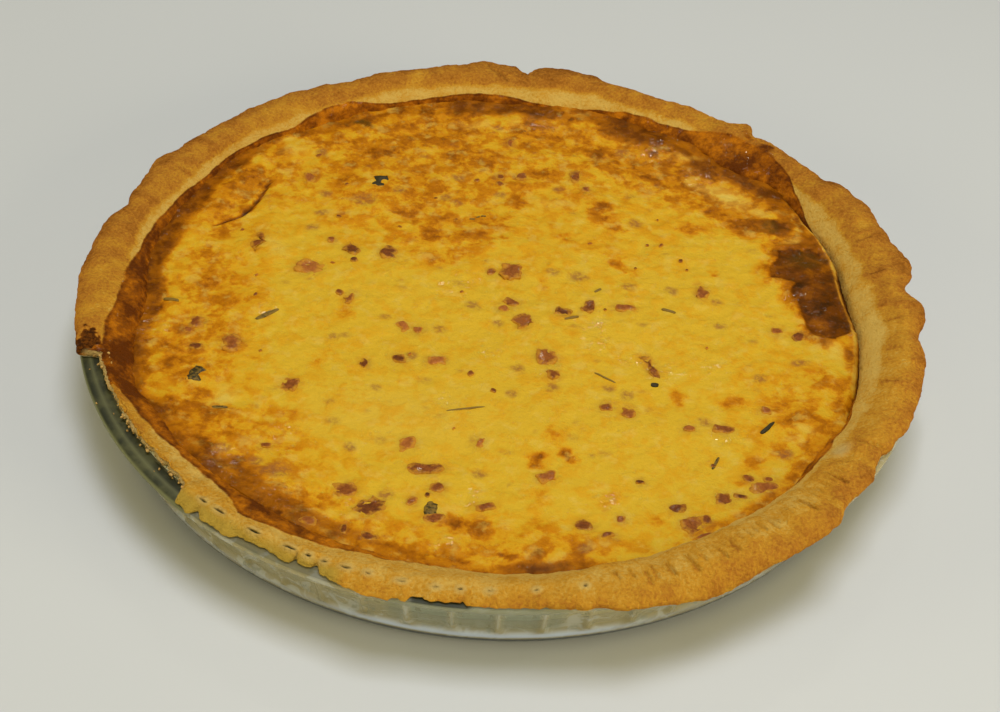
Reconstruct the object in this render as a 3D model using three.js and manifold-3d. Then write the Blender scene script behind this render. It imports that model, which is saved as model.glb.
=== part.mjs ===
// A round ham quiche in the clear glass flan dish that it was baked in.
// Three solids, nested with a small gap: the fluted glass dish, the shortcrust case that lines it and
// hangs over its rim, and the set custard with its ham dice and herb flakes.
// Millimetres, +Z up, the origin at the centre of the dish's flat base. An azimuth is in degrees,
// counter-clockwise from +X seen from above, so that the front of the quiche is at 270.

import * as THREE from "three";
import { mergeVertices } from "three/addons/utils/BufferGeometryUtils.js";
import Module from "manifold-3d";

// Driving dimensions.
const RIM_RADIUS = 140; // outer edge of the glass rim, a 28 cm dish
const DISH_HEIGHT = 27; // table to the top of the glass rim
const RIM_INNER_RADIUS = 133.4; // inner edge of the flat glass rim
const GLASS_FLOOR = 4; // thickness of the dish's floor
const FLUTES = 64; // flutes moulded in the glass wall
const FLUTE_DEPTH = 1.2; // how far a flute's panel lies inside its ridge
const GAP = 0.3; // between two nested pieces
const PASTRY_FLOOR = 3.3; // thickness of the pastry's floor
const LIP_RADIUS = 141.5; // typical outer edge of the pastry lip
const CREST_RADIUS = 130.5; // typical inner edge of the pastry's crest
const CREST_HEIGHT = 31.6; // table to the crest
const CUSTARD_RADIUS = 121.5; // typical edge of the custard
const CUSTARD_LEVEL = 24; // table to the custard

// Steps round the axis. A flute takes three: its ridge and two on its panel.
const WALL_STEPS = 3 * FLUTES;
const CUSTARD_STEPS = WALL_STEPS / 2;
const FULL_TURN = 360;

const wasm = await Module();
wasm.setup();

// ---------------------------------------------------------------- helpers

/** Shortest turn in degrees from one azimuth to another, -180 to 180. */
function turnBetween(from, to) {
  return THREE.MathUtils.euclideanModulo(to - from + FULL_TURN / 2, FULL_TURN) - FULL_TURN / 2;
}

/** 1 at `at`, falling smoothly to 0 at `halfWidth` degrees on either side. */
function bump(azimuth, at, halfWidth) {
  const away = Math.abs(turnBetween(at, azimuth)) / halfWidth;
  return away < 1 ? (1 + Math.cos(Math.PI * away)) / 2 : 0;
}

/** 1 from azimuth `from` to `to`, falling smoothly to 0 over `blend` degrees past both. */
function span(azimuth, from, to, blend) {
  const half = (to - from) / 2;
  const past = Math.abs(turnBetween(from + half, azimuth)) - half;
  return 1 - THREE.MathUtils.smoothstep(past, 0, blend);
}

/** Sum of named bumps, each [azimuth, half width in degrees, reach in mm]. */
function sumOfBumps(azimuth, bumps) {
  return bumps.reduce((sum, [at, halfWidth, reach]) => sum + reach * bump(azimuth, at, halfWidth), 0);
}

/** Sum of named spans, each [from, to, blend in degrees, reach in mm]. */
function sumOfSpans(azimuth, spans) {
  return spans.reduce((sum, [from, to, blend, reach]) => sum + reach * span(azimuth, from, to, blend), 0);
}

/** Slow unevenness of hand-rolled dough between -1 and 1, the same at 0 and 360 degrees. */
function handmade(azimuth, shift) {
  const angle = THREE.MathUtils.degToRad(azimuth);
  return 0.5 * Math.sin(9 * angle + shift) + 0.3 * Math.sin(23 * angle + 2 * shift)
    + 0.2 * Math.sin(41 * angle + 3 * shift);
}

/** A closed solid's vertices and triangles, with the zero-width triangles at its poles left out. */
function solidFrom(geometry) {
  geometry.deleteAttribute("normal");
  geometry.deleteAttribute("uv");
  const merged = mergeVertices(geometry, 1e-3);
  const triangles = [];
  for (let i = 0; i < merged.index.count; i += 3) {
    const [a, b, c] = [0, 1, 2].map((k) => merged.index.getX(i + k));
    if (a !== b && b !== c && c !== a) triangles.push(a, b, c);
  }
  return new wasm.Manifold(new wasm.Mesh({
    numProp: 3,
    vertProperties: merged.attributes.position.array,
    triVerts: new Uint32Array(triangles),
  }));
}

/** A turned solid. `section(azimuth)` is its [radius, height] profile there, from axis to axis. */
function turned(section, steps) {
  const profile = section(0).map(([radius, height]) => new THREE.Vector2(radius, height));
  const geometry = new THREE.LatheGeometry(profile, steps);
  const place = geometry.attributes.position;
  for (let step = 0; step <= steps; step += 1) {
    const azimuth = ((step % steps) / steps) * FULL_TURN;
    const angle = THREE.MathUtils.degToRad(azimuth);
    section(azimuth).forEach(([radius, height], i) => {
      place.setXYZ(step * profile.length + i, radius * Math.cos(angle), radius * Math.sin(angle), height);
    });
  }
  return solidFrom(geometry);
}

/** A named mesh of a solid in one material. */
function part(name, solid, material) {
  const { vertProperties, triVerts } = solid.getMesh();
  const geometry = new THREE.BufferGeometry();
  geometry.setAttribute("position", new THREE.BufferAttribute(vertProperties, 3));
  geometry.setIndex(new THREE.BufferAttribute(triVerts, 1));
  geometry.computeVertexNormals();
  const mesh = new THREE.Mesh(geometry, material);
  mesh.name = name;
  return mesh;
}

// ---------------------------------------------------------------- glass dish

const FLUTE_PITCH = FULL_TURN / FLUTES;
const FIRST_RIDGE = FLUTE_PITCH / 3; // azimuth of a ridge, on a step
const BASE_RADIUS = 127.5; // flat face that rests on the table
const HEEL_RADIUS = 130; // where the base turns up into the wall
const HEEL_HEIGHT = 2.2;
const BAND_RADIUS = 131; // smooth band between the heel and the flutes
const BAND_HEIGHT = 5.2;
const FLUTE_FOOT_RADIUS = 132.3; // outside of the ridges where the flutes begin
const FLUTE_FOOT_HEIGHT = 8;
const FLUTE_HEAD_RADIUS = 136.2; // and where they end below the rim
const FLUTE_HEAD_HEIGHT = 20.5;
const RIM_ROOT_RADIUS = 137.2;
const RIM_ROOT_HEIGHT = 23.4;
const RIM_UNDERSIDE = 24.6;
const RIM_ROUNDING = 1; // bevel round the rim's outer top edge
const INNER_HEAD_RADIUS = 132; // inside of the wall below the rim
const INNER_FOOT_RADIUS = 126; // inside of the wall above the floor
const FLOOR_RADIUS = 122.5; // flat floor
const INNER_ROUNDING = 2.5; // height of the bevels at the floor and at the rim

/** How far the glass lies inside its ridges at an azimuth: 0 on a ridge, FLUTE_DEPTH on a panel. */
function fluteInset(azimuth) {
  const phase = THREE.MathUtils.euclideanModulo((azimuth - FIRST_RIDGE) / FLUTE_PITCH, 1);
  return FLUTE_DEPTH * Math.min(1, 3 * Math.min(phase, 1 - phase));
}

/** The glass's inner face from the rim's edge down to the floor, as [radius, height]. */
function glassInside(azimuth) {
  const inset = fluteInset(azimuth);
  return [
    [RIM_INNER_RADIUS, DISH_HEIGHT],
    [INNER_HEAD_RADIUS - inset, DISH_HEIGHT - INNER_ROUNDING],
    [INNER_FOOT_RADIUS - inset, GLASS_FLOOR + INNER_ROUNDING],
    [FLOOR_RADIUS, GLASS_FLOOR],
  ];
}

function dishSection(azimuth) {
  const inset = fluteInset(azimuth);
  return [
    [0, 0],
    [BASE_RADIUS, 0],
    [HEEL_RADIUS, HEEL_HEIGHT],
    [BAND_RADIUS, BAND_HEIGHT],
    [FLUTE_FOOT_RADIUS - inset, FLUTE_FOOT_HEIGHT],
    [FLUTE_HEAD_RADIUS - inset, FLUTE_HEAD_HEIGHT],
    [RIM_ROOT_RADIUS, RIM_ROOT_HEIGHT],
    [RIM_RADIUS, RIM_UNDERSIDE],
    [RIM_RADIUS, DISH_HEIGHT - RIM_ROUNDING],
    [RIM_RADIUS - RIM_ROUNDING, DISH_HEIGHT],
    ...glassInside(azimuth),
    [0, GLASS_FLOOR],
  ];
}

// ---------------------------------------------------------------- pastry case

// Long stretches where the lip stands in or out: [from, to, blend in degrees, reach in mm].
const LIP_SPANS = [
  [200, 228, 1.6, -5.9], // broken off, so that the glass rim shows
  [230, 278, 5, -1.9], // flush with the glass rim
  [286, 315, 4, 3.2], // hangs over the rim
  [336, 357, 3, 1],
  [32, 74, 3, -3.8], // thin and short
];

// Tabs and notches in the lip: [azimuth, half width in degrees, reach in mm].
const LIP_BUMPS = [
  [0, 3, 1.8], [4.3, 3.6, -3], [11, 7, 3.6], [17.5, 3, 1.4], [23.5, 7, 3], [29, 3, 1.6], [34, 4, 1],
  [47, 3, -1.4], [49.5, 3, 4.4], [66, 6, -1.6], [82, 6, 0.6], [88, 2.2, -4.6], [95, 5, 3.4], [101, 4, 1.2],
  [113, 5, -1.2], [118, 6, -2.2], [125, 4, -1.4], [134, 5, 0.8], [139, 3, -0.8], [154, 4, 2.4],
  [161, 4, -1], [166, 4, -3.2], [181, 8, 0.9], [328, 4, -2.6], [332, 3, -1], [354, 4, -2.2],
];

// The crest's inner edge, and its height, where they leave the typical value.
const CREST_SPANS = [
  [208, 248, 6, 1.8],
  [286, 322, 6, -2.2],
  [32, 70, 6, -1],
];
const CREST_BUMPS = [[150, 14, -1.2], [185, 10, -1.5], [10, 12, -1]];
const HEIGHT_SPANS = [
  [200, 228, 2, -1.6], // broken stretch
  [230, 276, 5, -1.1], // pressed flat on the glass
  [34, 60, 5, -1.4],
];
const HEIGHT_BUMPS = [[88, 3, -1.3], [292, 2.4, -0.9], [300, 2.4, -1.1], [309, 3, -1.2], [317, 2.6, -1.3],
  [326, 3, -0.8], [345, 10, 0.7], [180, 14, 0.8]];

// How far the lip hangs down outside the glass rim: [azimuth, half width in degrees, drop in mm].
const DROOP_BUMPS = [[297, 11, 4.2], [309, 6, 1.2], [13, 5, 1.4]];

// The custard's edge, and with it the pastry's inner wall, against CUSTARD_RADIUS.
const EDGE_BUMPS = [
  [355, 14, -1], [6, 11, -2.4], [33, 8, 1.6], [47, 11, -5.4], [63, 13, -2.2], [88, 12, -1.8],
  [142, 16, 2.8], [185, 14, -4.2], [205, 9, 2.6], [236, 14, -1.2], [276, 30, 1.4], [326, 9, -2.6],
];
const PASTRY_TO_GLASS = 2 * GAP; // sideways, so that the slanting faces keep their gap
const LIP_THICKNESS = 2.8;
const LIP_UNDERCUT = 1.3; // how far the lip's rounded edge stands past its underside
const PAST_THE_RIM = 0.6; // room between the glass rim and a lip that hangs down
const ROLL_OUTER = 0.62; // places of the roll's top between the crest's inner edge and the lip
const ROLL_INNER = 0.25;
const ROLL_FALL = 1.3; // how far the crest's inner edge lies below the roll's top
const CREST_SHOULDER = 0.6; // how far it stands in past the crest's radius
const WALL_FLARE = 3.2; // how far the inner wall opens out above the custard
const WALL_FLARE_RISE = 0.45; // where between the custard's edge and the crest it has opened out
const LIP_ROOT_UNDERCUTS = 1.5; // how far inside the lip's edge, in undercuts, it leaves the glass rim
const LIP_TOP_DROOP = 0.7; // share of a hanging lip's drop that its upper side makes
const WALL_FOOT_RADIUS = 118; // inner wall of the pastry at its floor
const WALL_FOOT_HEIGHT = GLASS_FLOOR + GAP + PASTRY_FLOOR;
const WALL_EDGE_HEIGHT = CUSTARD_LEVEL - 0.5; // where EDGE_BUMPS are measured

function lipRadius(azimuth) {
  return LIP_RADIUS + sumOfSpans(azimuth, LIP_SPANS) + sumOfBumps(azimuth, LIP_BUMPS)
    + 0.5 * handmade(azimuth, 1);
}

function crestRadius(azimuth) {
  return CREST_RADIUS + sumOfSpans(azimuth, CREST_SPANS) + sumOfBumps(azimuth, CREST_BUMPS)
    + 0.4 * handmade(azimuth, 2);
}

function crestHeight(azimuth) {
  return CREST_HEIGHT + sumOfSpans(azimuth, HEIGHT_SPANS) + sumOfBumps(azimuth, HEIGHT_BUMPS)
    + 0.3 * handmade(azimuth, 3);
}

/** Radius of the pastry's inner wall at a height between its foot and the custard's edge. */
function wallRadius(azimuth, height) {
  const edge = CUSTARD_RADIUS + sumOfBumps(azimuth, EDGE_BUMPS);
  const rise = (height - WALL_FOOT_HEIGHT) / (WALL_EDGE_HEIGHT - WALL_FOOT_HEIGHT);
  return THREE.MathUtils.lerp(WALL_FOOT_RADIUS, edge, rise);
}

function pastrySection(azimuth) {
  const againstGlass = glassInside(azimuth).reverse()
    .map(([radius, height]) => [radius - PASTRY_TO_GLASS, height + GAP]);
  const overRim = DISH_HEIGHT + GAP;
  const lip = lipRadius(azimuth);
  const crest = crestRadius(azimuth);
  const top = crestHeight(azimuth);
  const droop = sumOfBumps(azimuth, DROOP_BUMPS);
  const edge = wallRadius(azimuth, WALL_EDGE_HEIGHT);
  return [
    [0, GLASS_FLOOR + GAP],
    ...againstGlass,
    [Math.min(lip - LIP_ROOT_UNDERCUTS * LIP_UNDERCUT, RIM_RADIUS + PAST_THE_RIM), overRim],
    [lip - LIP_UNDERCUT, overRim - droop],
    [lip, overRim + LIP_THICKNESS / 2 - droop],
    [lip - LIP_UNDERCUT, overRim + LIP_THICKNESS - LIP_TOP_DROOP * droop],
    [THREE.MathUtils.lerp(crest, lip, ROLL_OUTER), top - 0.2],
    [THREE.MathUtils.lerp(crest, lip, ROLL_INNER), top],
    [crest - CREST_SHOULDER, top - ROLL_FALL],
    [edge + WALL_FLARE, THREE.MathUtils.lerp(WALL_EDGE_HEIGHT, top, WALL_FLARE_RISE)],
    [edge, WALL_EDGE_HEIGHT],
    [WALL_FOOT_RADIUS, WALL_FOOT_HEIGHT],
    [0, WALL_FOOT_HEIGHT],
  ];
}

// ---------------------------------------------------------------- custard

// Swells and hollows of the baked skin: [x, y, radius, height] in mm.
const SWELLS = [
  [108, 14, 24, 1.3], // torn skin lifted at the right
  [-84, 22, 15, 0.9], [-86, -54, 12, -0.8], [60, 101, 16, 0.8], [12, -113, 16, 0.8],
  [97, -56, 12, 0.9], [-66, -100, 16, 1], [80, 70, 18, -0.7], [47, -23, 16, -0.6],
  [-52, 60, 26, 0.8], [-4, 34, 18, 0.6], [34, 56, 20, 0.6], [17, -64, 20, 0.5],
  [-20, -20, 40, -0.7], [60, -40, 26, -0.5],
];

// Where the set custard has shrunk from the pastry: [azimuth, half width in degrees, width in mm].
const SHRUNK = [[10, 22, 1.8], [345, 8, 0.6]];
const CREVICE_FLOOR = 18.6; // height where the custard meets the pastry again
const SKIN_EDGE_HEIGHT = CUSTARD_LEVEL - 1.3; // where the skin turns down at the edge

// The custard puffs up in a low ring just inside its edge and sinks a little towards the middle.
const PUFF_HEIGHT = 0.9;
const PUFF_FROM_EDGE = 9;
const PUFF_WIDTH = 8;
const SUNK_MIDDLE = 0.4;

/** Height of the custard's skin at a point, without the toppings. */
function skinHeight(x, y, edge) {
  const swell = SWELLS.reduce((sum, [atX, atY, size, height]) => {
    const away = Math.hypot(x - atX, y - atY) / size;
    return sum + (away < 1 ? height * (1 - away * away) ** 2 : 0);
  }, 0);
  const fromPuff = (edge - PUFF_FROM_EDGE - Math.hypot(x, y)) / PUFF_WIDTH;
  return CUSTARD_LEVEL - SUNK_MIDDLE + PUFF_HEIGHT * Math.exp(-(fromPuff ** 2)) + swell;
}

// Rings of points on the skin, closer together where it puffs up.
const RINGS_FROM_EDGE = [1.6, 8, 17, 29, 44];
const MIDDLE_RINGS = [56, 34, 0];

/** Radius of the custard's side: a gap inside the tightest of the pastry's wall here and beside. */
function custardRadius(azimuth, height) {
  const beside = [-2, -1, 0, 1, 2].map((steps) => azimuth + (steps * FULL_TURN) / WALL_STEPS);
  return Math.min(...beside.map((near) => wallRadius(near, height))) - GAP;
}

function custardSection(azimuth) {
  const angle = THREE.MathUtils.degToRad(azimuth);
  const edge = custardRadius(azimuth, SKIN_EDGE_HEIGHT) - sumOfBumps(azimuth, SHRUNK);
  const floor = WALL_FOOT_HEIGHT + GAP;
  const rings = [...RINGS_FROM_EDGE.map((inwards) => edge - inwards), ...MIDDLE_RINGS];
  return [
    [0, floor],
    [custardRadius(azimuth, floor), floor],
    [custardRadius(azimuth, CREVICE_FLOOR), CREVICE_FLOOR],
    [edge, SKIN_EDGE_HEIGHT],
    ...rings.map((radius) => [radius, skinHeight(radius * Math.cos(angle), radius * Math.sin(angle), edge)]),
  ];
}

// Ham dice that show at the skin: [x, y, length, width, turn in degrees].
const HAM = [
  [8, -10, 6, 5, 20], [3, 15, 5, 6, 0], [4, -1, 5, 3, 150], [26, 14, 7, 5, 20], [21, -4, 6, 3, 170],
  [30, -1, 3, 5, 160], [42, -1, 6, 3, 10], [-67, 12, 8, 5, 150], [-53, 24, 6, 5, 160], [-40, 22, 5, 4, 0],
  [-57, 50, 7, 5, 0], [-87, 23, 3, 7, 160], [-86, -30, 5, 6, 20], [-32, -16, 3, 4, 20], [-66, -49, 4, 5, 0],
  [-26, -73, 5, 4, 20], [-20, -83, 8, 4, 0], [-43, -94, 6, 5, 10], [-34, -102, 7, 5, 30], [-1, -98, 5, 3, 0],
  [28, -103, 4, 5, 20], [17, -84, 5, 4, 20], [35, -51, 4, 4, 0], [17, -28, 5, 5, 10], [50, -30, 3, 8, 15],
  [69, 10, 3, 6, 0], [100, -11, 4, 5, 20], [72, -58, 8, 3, 5], [79, -82, 7, 5, 10], [70, -91, 5, 5, 20],
  [58, -99, 6, 6, 30],
];
const HAM_THICKNESS = 3;
const HAM_STANDS_OUT = 0.8; // above the skin
const HAM_TAPER = 0.78; // top of a dice against its base

// Herb flakes on the skin: [x, y, length, width, turn in degrees].
const HERBS = [
  [-47, 64, 6, 3, 20], [-77, -15, 9, 2, 25], [-95, -46, 6, 5, 30], [-17, -100, 6, 4, 50],
  [86, -56, 5, 2, 35], [51, -39, 3, 2, 10], [68, -73, 4, 1.5, 50],
];
const HERB_THICKNESS = 1.6;
const HERB_STANDS_OUT = 0.6;
const HERB_SIDES = 6;
const HERB_BASE_RADIUS = 0.5; // in lengths of the flake
const HERB_TOP_RADIUS = 0.4;

/** A piece set in the skin at [x, y], turned, with `standsOut` of its thickness above the skin. */
function setInSkin(geometry, [x, y, , , turn], thickness, standsOut) {
  geometry.rotateZ(THREE.MathUtils.degToRad(turn));
  geometry.translate(x, y, skinHeight(x, y, CUSTARD_RADIUS) + standsOut - thickness / 2);
  return solidFrom(geometry);
}

/** A ham dice: a block whose top is a little smaller than its base. */
function hamDice(row) {
  const [, , length, width] = row;
  const block = new THREE.BoxGeometry(length, width, HAM_THICKNESS);
  const place = block.attributes.position;
  for (let i = 0; i < place.count; i += 1) {
    const taper = place.getZ(i) > 0 ? HAM_TAPER : 1;
    place.setXY(i, taper * place.getX(i), taper * place.getY(i));
  }
  return setInSkin(block, row, HAM_THICKNESS, HAM_STANDS_OUT);
}

/** A herb flake: a thin six-sided leaf. */
function herbFlake(row) {
  const [, , length, width] = row;
  const leaf = new THREE.CylinderGeometry(HERB_TOP_RADIUS, HERB_BASE_RADIUS, HERB_THICKNESS, HERB_SIDES);
  leaf.rotateX(Math.PI / 2);
  leaf.scale(length, width, 1);
  return setInSkin(leaf, row, HERB_THICKNESS, HERB_STANDS_OUT);
}

function custardWithToppings() {
  const toppings = [...HAM.map(hamDice), ...HERBS.map(herbFlake)];
  return toppings.reduce((solid, topping) => solid.add(topping), turned(custardSection, CUSTARD_STEPS));
}

// ---------------------------------------------------------------- materials and scene graph

const glass = new THREE.MeshStandardMaterial({
  color: 0xb9c4b4, roughness: 0.06, metalness: 0, transparent: true, opacity: 0.45,
});
const pastry = new THREE.MeshStandardMaterial({ color: 0xc48e3c, roughness: 0.75, metalness: 0 });
const custard = new THREE.MeshStandardMaterial({ color: 0xdcae2c, roughness: 0.35, metalness: 0 });

const quiche = new THREE.Group();
quiche.name = "quiche";
quiche.add(
  part("glass_dish", turned(dishSection, WALL_STEPS), glass),
  part("pastry_case", turned(pastrySection, WALL_STEPS), pastry),
  part("custard_filling", custardWithToppings(), custard),
);

export default quiche;
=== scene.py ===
"""Looks of a round ham quiche baked in a fluted clear glass flan dish.

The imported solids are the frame. Each of them is replaced here by a finer piece of the same form:
the glass dish with its moulded flutes, the hand-pressed pastry case with its cracks, slits and
broken lip, and the set custard with its browned skin, ham dice and herb flakes.

Sizes are in millimetres unless a name says otherwise. An azimuth is in degrees, counter-clockwise
from +X seen from above, so that the front of the quiche is at 270.
"""

import logging
import math
from dataclasses import dataclass, field
from enum import Enum
from typing import Any

import bpy
import numpy as np
from mathutils import Matrix, Vector


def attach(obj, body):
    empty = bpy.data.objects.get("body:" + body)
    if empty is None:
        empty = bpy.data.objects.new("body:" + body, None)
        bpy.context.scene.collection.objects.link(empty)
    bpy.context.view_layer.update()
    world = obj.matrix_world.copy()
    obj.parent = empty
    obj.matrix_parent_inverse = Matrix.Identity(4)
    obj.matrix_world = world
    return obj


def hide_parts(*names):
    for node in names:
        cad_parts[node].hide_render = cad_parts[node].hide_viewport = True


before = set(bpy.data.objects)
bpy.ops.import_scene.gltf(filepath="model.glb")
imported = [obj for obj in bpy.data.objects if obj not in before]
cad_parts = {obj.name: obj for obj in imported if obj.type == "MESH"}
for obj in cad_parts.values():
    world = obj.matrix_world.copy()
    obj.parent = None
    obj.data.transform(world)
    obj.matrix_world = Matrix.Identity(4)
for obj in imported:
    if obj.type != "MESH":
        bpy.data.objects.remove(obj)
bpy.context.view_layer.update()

MM = 0.001
BODY = "root"
FULL_TURN = 360.0
log = logging.getLogger("quiche")

Array = np.ndarray
Material = bpy.types.Material
Piece = bpy.types.Object
Socket = bpy.types.NodeSocket
Colour = tuple[float, float, float, float]


class Slot(Enum):
    """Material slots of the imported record."""

    GLASS = "glass"
    PASTRY = "pastry"
    CUSTARD = "custard"


# ---------------------------------------------------------------- shared dimensions

RIM_RADIUS = 140.0  # outer edge of the glass rim, a 28 cm dish
DISH_HEIGHT = 27.0
CUSTARD_RADIUS = 121.5  # typical edge of the custard
CUSTARD_LEVEL = 24.0
WALL_EDGE_HEIGHT = CUSTARD_LEVEL - 0.5  # where the edge bumps are measured
WALL_FOOT_RADIUS = 118.0  # inner wall of the pastry at its floor
WALL_FOOT_HEIGHT = 7.6
BREAK_FROM = 200.0  # azimuths between which the lip has broken off the rim
BREAK_TO = 229.0
SCATTER_RADIUS = 108.0  # how far out the small scraps lie

# The custard's edge, and with it the pastry's inner wall: azimuth, half width in degrees, reach.
EDGE_BUMPS = (
    (355, 14, -1), (6, 11, -2.4), (33, 8, 1.6), (47, 11, -5.4), (63, 13, -2.2), (88, 12, -1.8),
    (142, 16, 2.8), (185, 14, -4.2), (205, 9, 2.6), (236, 14, -1.2), (276, 30, 1.4), (326, 9, -2.6),
)

# The brown film of custard on the wall: azimuth, how high it reaches, how dark it is.
FILM = (
    (0, -0.3, 0.6), (20, -0.3, 0.5), (23, -0.2, 0.5), (27, 0.0, 0.4), (30, 0.2, 0.4), (33, 0.42, 0.4),
    (36, 0.75, 0.55), (40, 0.92, 0.8), (43, 0.97, 0.85), (48, 0.95, 0.7), (52, 0.85, 0.6),
    (57, 0.55, 0.4), (60, 0.52, 0.5), (65, 0.45, 0.6), (70, 0.38, 0.6), (75, 0.2, 0.5), (80, 0.08, 0.4),
    (85, 0.2, 0.6), (90, 0.38, 0.55), (93, 0.42, 0.55), (97, 0.36, 0.7), (105, 0.32, 0.6),
    (112, 0.3, 0.5), (116, 0.45, 0.45), (120, 0.65, 0.5), (125, 0.58, 0.45), (130, 0.38, 0.45),
    (134, 0.33, 0.5), (140, 0.3, 0.7), (150, 0.3, 0.75), (156, 0.38, 0.7), (165, 0.42, 0.72),
    (170, 0.46, 0.75), (175, 0.55, 0.78), (180, 0.68, 0.75), (185, 0.78, 0.7), (190, 0.8, 0.65),
    (195, 0.92, 0.7), (198.6, 0.95, 0.85), (199.6, 1.6, 1), (205, 1.6, 1.1), (207.5, 0.8, 1),
    (210, 0.66, 0.9), (215, 0.62, 0.75), (220, 0.56, 0.5), (225, 0.52, 0.4), (229, 0.56, 0.4),
    (233, 0.68, 0.45), (237, 0.88, 0.62), (243, 0.8, 0.45), (247, 0.72, 0.3), (250, 0.7, 0.2),
    (257, 0.6, 0.1), (260, 0.3, 0.5), (268, 0.1, 0.4), (279, 0.1, 0.5), (281, 0.5, 0.7), (285, 0.5, 0.6),
    (288, 0.1, 0.3), (316, 0.15, 0.2), (322, 0.55, 0.3), (330, 0.4, 0.4), (337, 0.15, 0.5),
    (343, -0.1, 0.5),
)


# ---------------------------------------------------------------- round the axis

def turn_between(start: float, end: Array) -> Array:
    """Shortest turn in degrees from one azimuth to others, -180 to 180."""
    return (end - start + FULL_TURN / 2) % FULL_TURN - FULL_TURN / 2


def smooth(value: Array, low: float, high: float) -> Array:
    """0 below `low`, 1 above `high` and a smooth rise between them."""
    share = np.clip((value - low) / (high - low), 0, 1)
    return share * share * (3 - 2 * share)


def fade(value: Array, low: float, high: float) -> Array:
    """1 below `low`, 0 above `high` and a smooth fall between them."""
    return 1 - smooth(value, low, high)


def hump(value: Array, middle: float, width: float) -> Array:
    """1 at `middle`, falling off smoothly on both sides over about `width`."""
    return np.exp(-((value - middle) / width) ** 2)


def bump(azimuth: Array, at: float, half_width: float) -> Array:
    """1 at `at`, falling smoothly to 0 at `half_width` degrees on either side."""
    away = np.abs(turn_between(at, azimuth)) / half_width
    return np.where(away < 1, (1 + np.cos(np.pi * np.minimum(away, 1))) / 2, 0)


def span(azimuth: Array, start: float, end: float, blend: float) -> Array:
    """1 from azimuth `start` to `end`, falling smoothly to 0 over `blend` degrees past both."""
    half = (end - start) / 2
    past = np.abs(turn_between(start + half, azimuth)) - half
    return fade(past, 0, blend)


def sum_of_bumps(azimuth: Array, bumps: tuple) -> Array:
    """Sum of bumps, each (azimuth, half width in degrees, reach)."""
    return sum(reach * bump(azimuth, at, half_width) for at, half_width, reach in bumps)


def sum_of_spans(azimuth: Array, spans: tuple) -> Array:
    """Sum of spans, each (from, to, blend in degrees, reach)."""
    return sum(reach * span(azimuth, start, end, blend) for start, end, blend, reach in spans)


def by_hand(azimuth: Array, size: float, spans: tuple, bumps: tuple, uneven: float, shift: float) -> Array:
    """A size of the dough, with its stretches, its bumps and the slow unevenness of hand-rolling."""
    angle = np.radians(azimuth)
    waves = (0.5 * np.sin(9 * angle + shift) + 0.3 * np.sin(23 * angle + 2 * shift)
             + 0.2 * np.sin(41 * angle + 3 * shift))
    return size + sum_of_spans(azimuth, spans) + sum_of_bumps(azimuth, bumps) + uneven * waves


def wall_radius(azimuth: Array, height: Array) -> Array:
    """Radius of the pastry's inner wall at a height between its foot and the custard's edge."""
    edge = CUSTARD_RADIUS + sum_of_bumps(azimuth, EDGE_BUMPS)
    rise = (height - WALL_FOOT_HEIGHT) / (WALL_EDGE_HEIGHT - WALL_FOOT_HEIGHT)
    return WALL_FOOT_RADIUS + (edge - WALL_FOOT_RADIUS) * rise


def place(radius: Array, azimuth: Array, height: Array) -> Array:
    """Points from radius, azimuth and height, stacked on the last axis."""
    angle = np.radians(azimuth)
    return np.stack(np.broadcast_arrays(radius * np.cos(angle), radius * np.sin(angle), height), -1)


# ---------------------------------------------------------------- unevenness

AXIS_PRIMES = (73856093, 19349663, 83492791)  # primes that scatter the cells of a lattice
SEED_PRIME = 2654435761
MIXING_PRIME = 1274126177
LOW_31_BITS = 0x7FFFFFFF
LOW_16_BITS = 0xFFFF
SEED_SHIFT = 31.7  # moves each seed to another part of the lattice
GRAIN_GAIN = 1.4  # brings the noise up to about -1 to 1


def lattice_value(cell: Array, seed: int) -> Array:
    """A fixed value from -1 to 1 for each whole-numbered cell of a lattice."""
    mixed = np.full(cell.shape[:-1], seed * SEED_PRIME)
    for axis, prime in enumerate(AXIS_PRIMES):
        mixed = mixed ^ cell[..., axis] * prime
    mixed = (mixed ^ (mixed >> 13)) * MIXING_PRIME & LOW_31_BITS
    mixed = (mixed ^ (mixed >> 16)) & LOW_16_BITS
    return mixed / (LOW_16_BITS / 2) - 1


def grain(points: Array, size: float, seed: int, octaves: int = 1) -> Array:
    """Smooth noise from about -1 to 1.

    Args:
        points: places, with x, y and z on the last axis.
        size: of the largest lumps.
        seed: picks another pattern.
        octaves: how many finer layers are added, each half as large and half as strong.

    Returns:
        One value for each point.
    """
    total = np.zeros(points.shape[:-1])
    reach = 0.0
    for octave in range(octaves):
        strength = 0.5 ** octave
        scaled = points * (2 ** octave / size) + SEED_SHIFT * (seed + octave)
        cell = np.floor(scaled).astype(np.int64)
        part = scaled - cell
        ease = part * part * (3 - 2 * part)
        for corner in range(8):
            step = np.array([corner & 1, corner >> 1 & 1, corner >> 2 & 1])
            weight = np.prod(np.where(step, ease, 1 - ease), axis=-1)
            total += strength * weight * lattice_value(cell + step, seed + octave)
        reach += strength
    return total / reach * GRAIN_GAIN


def flat(x: Array, y: Array) -> Array:
    """Points in the plane z = 0."""
    return np.stack([x, y, np.zeros_like(x)], -1)


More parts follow.
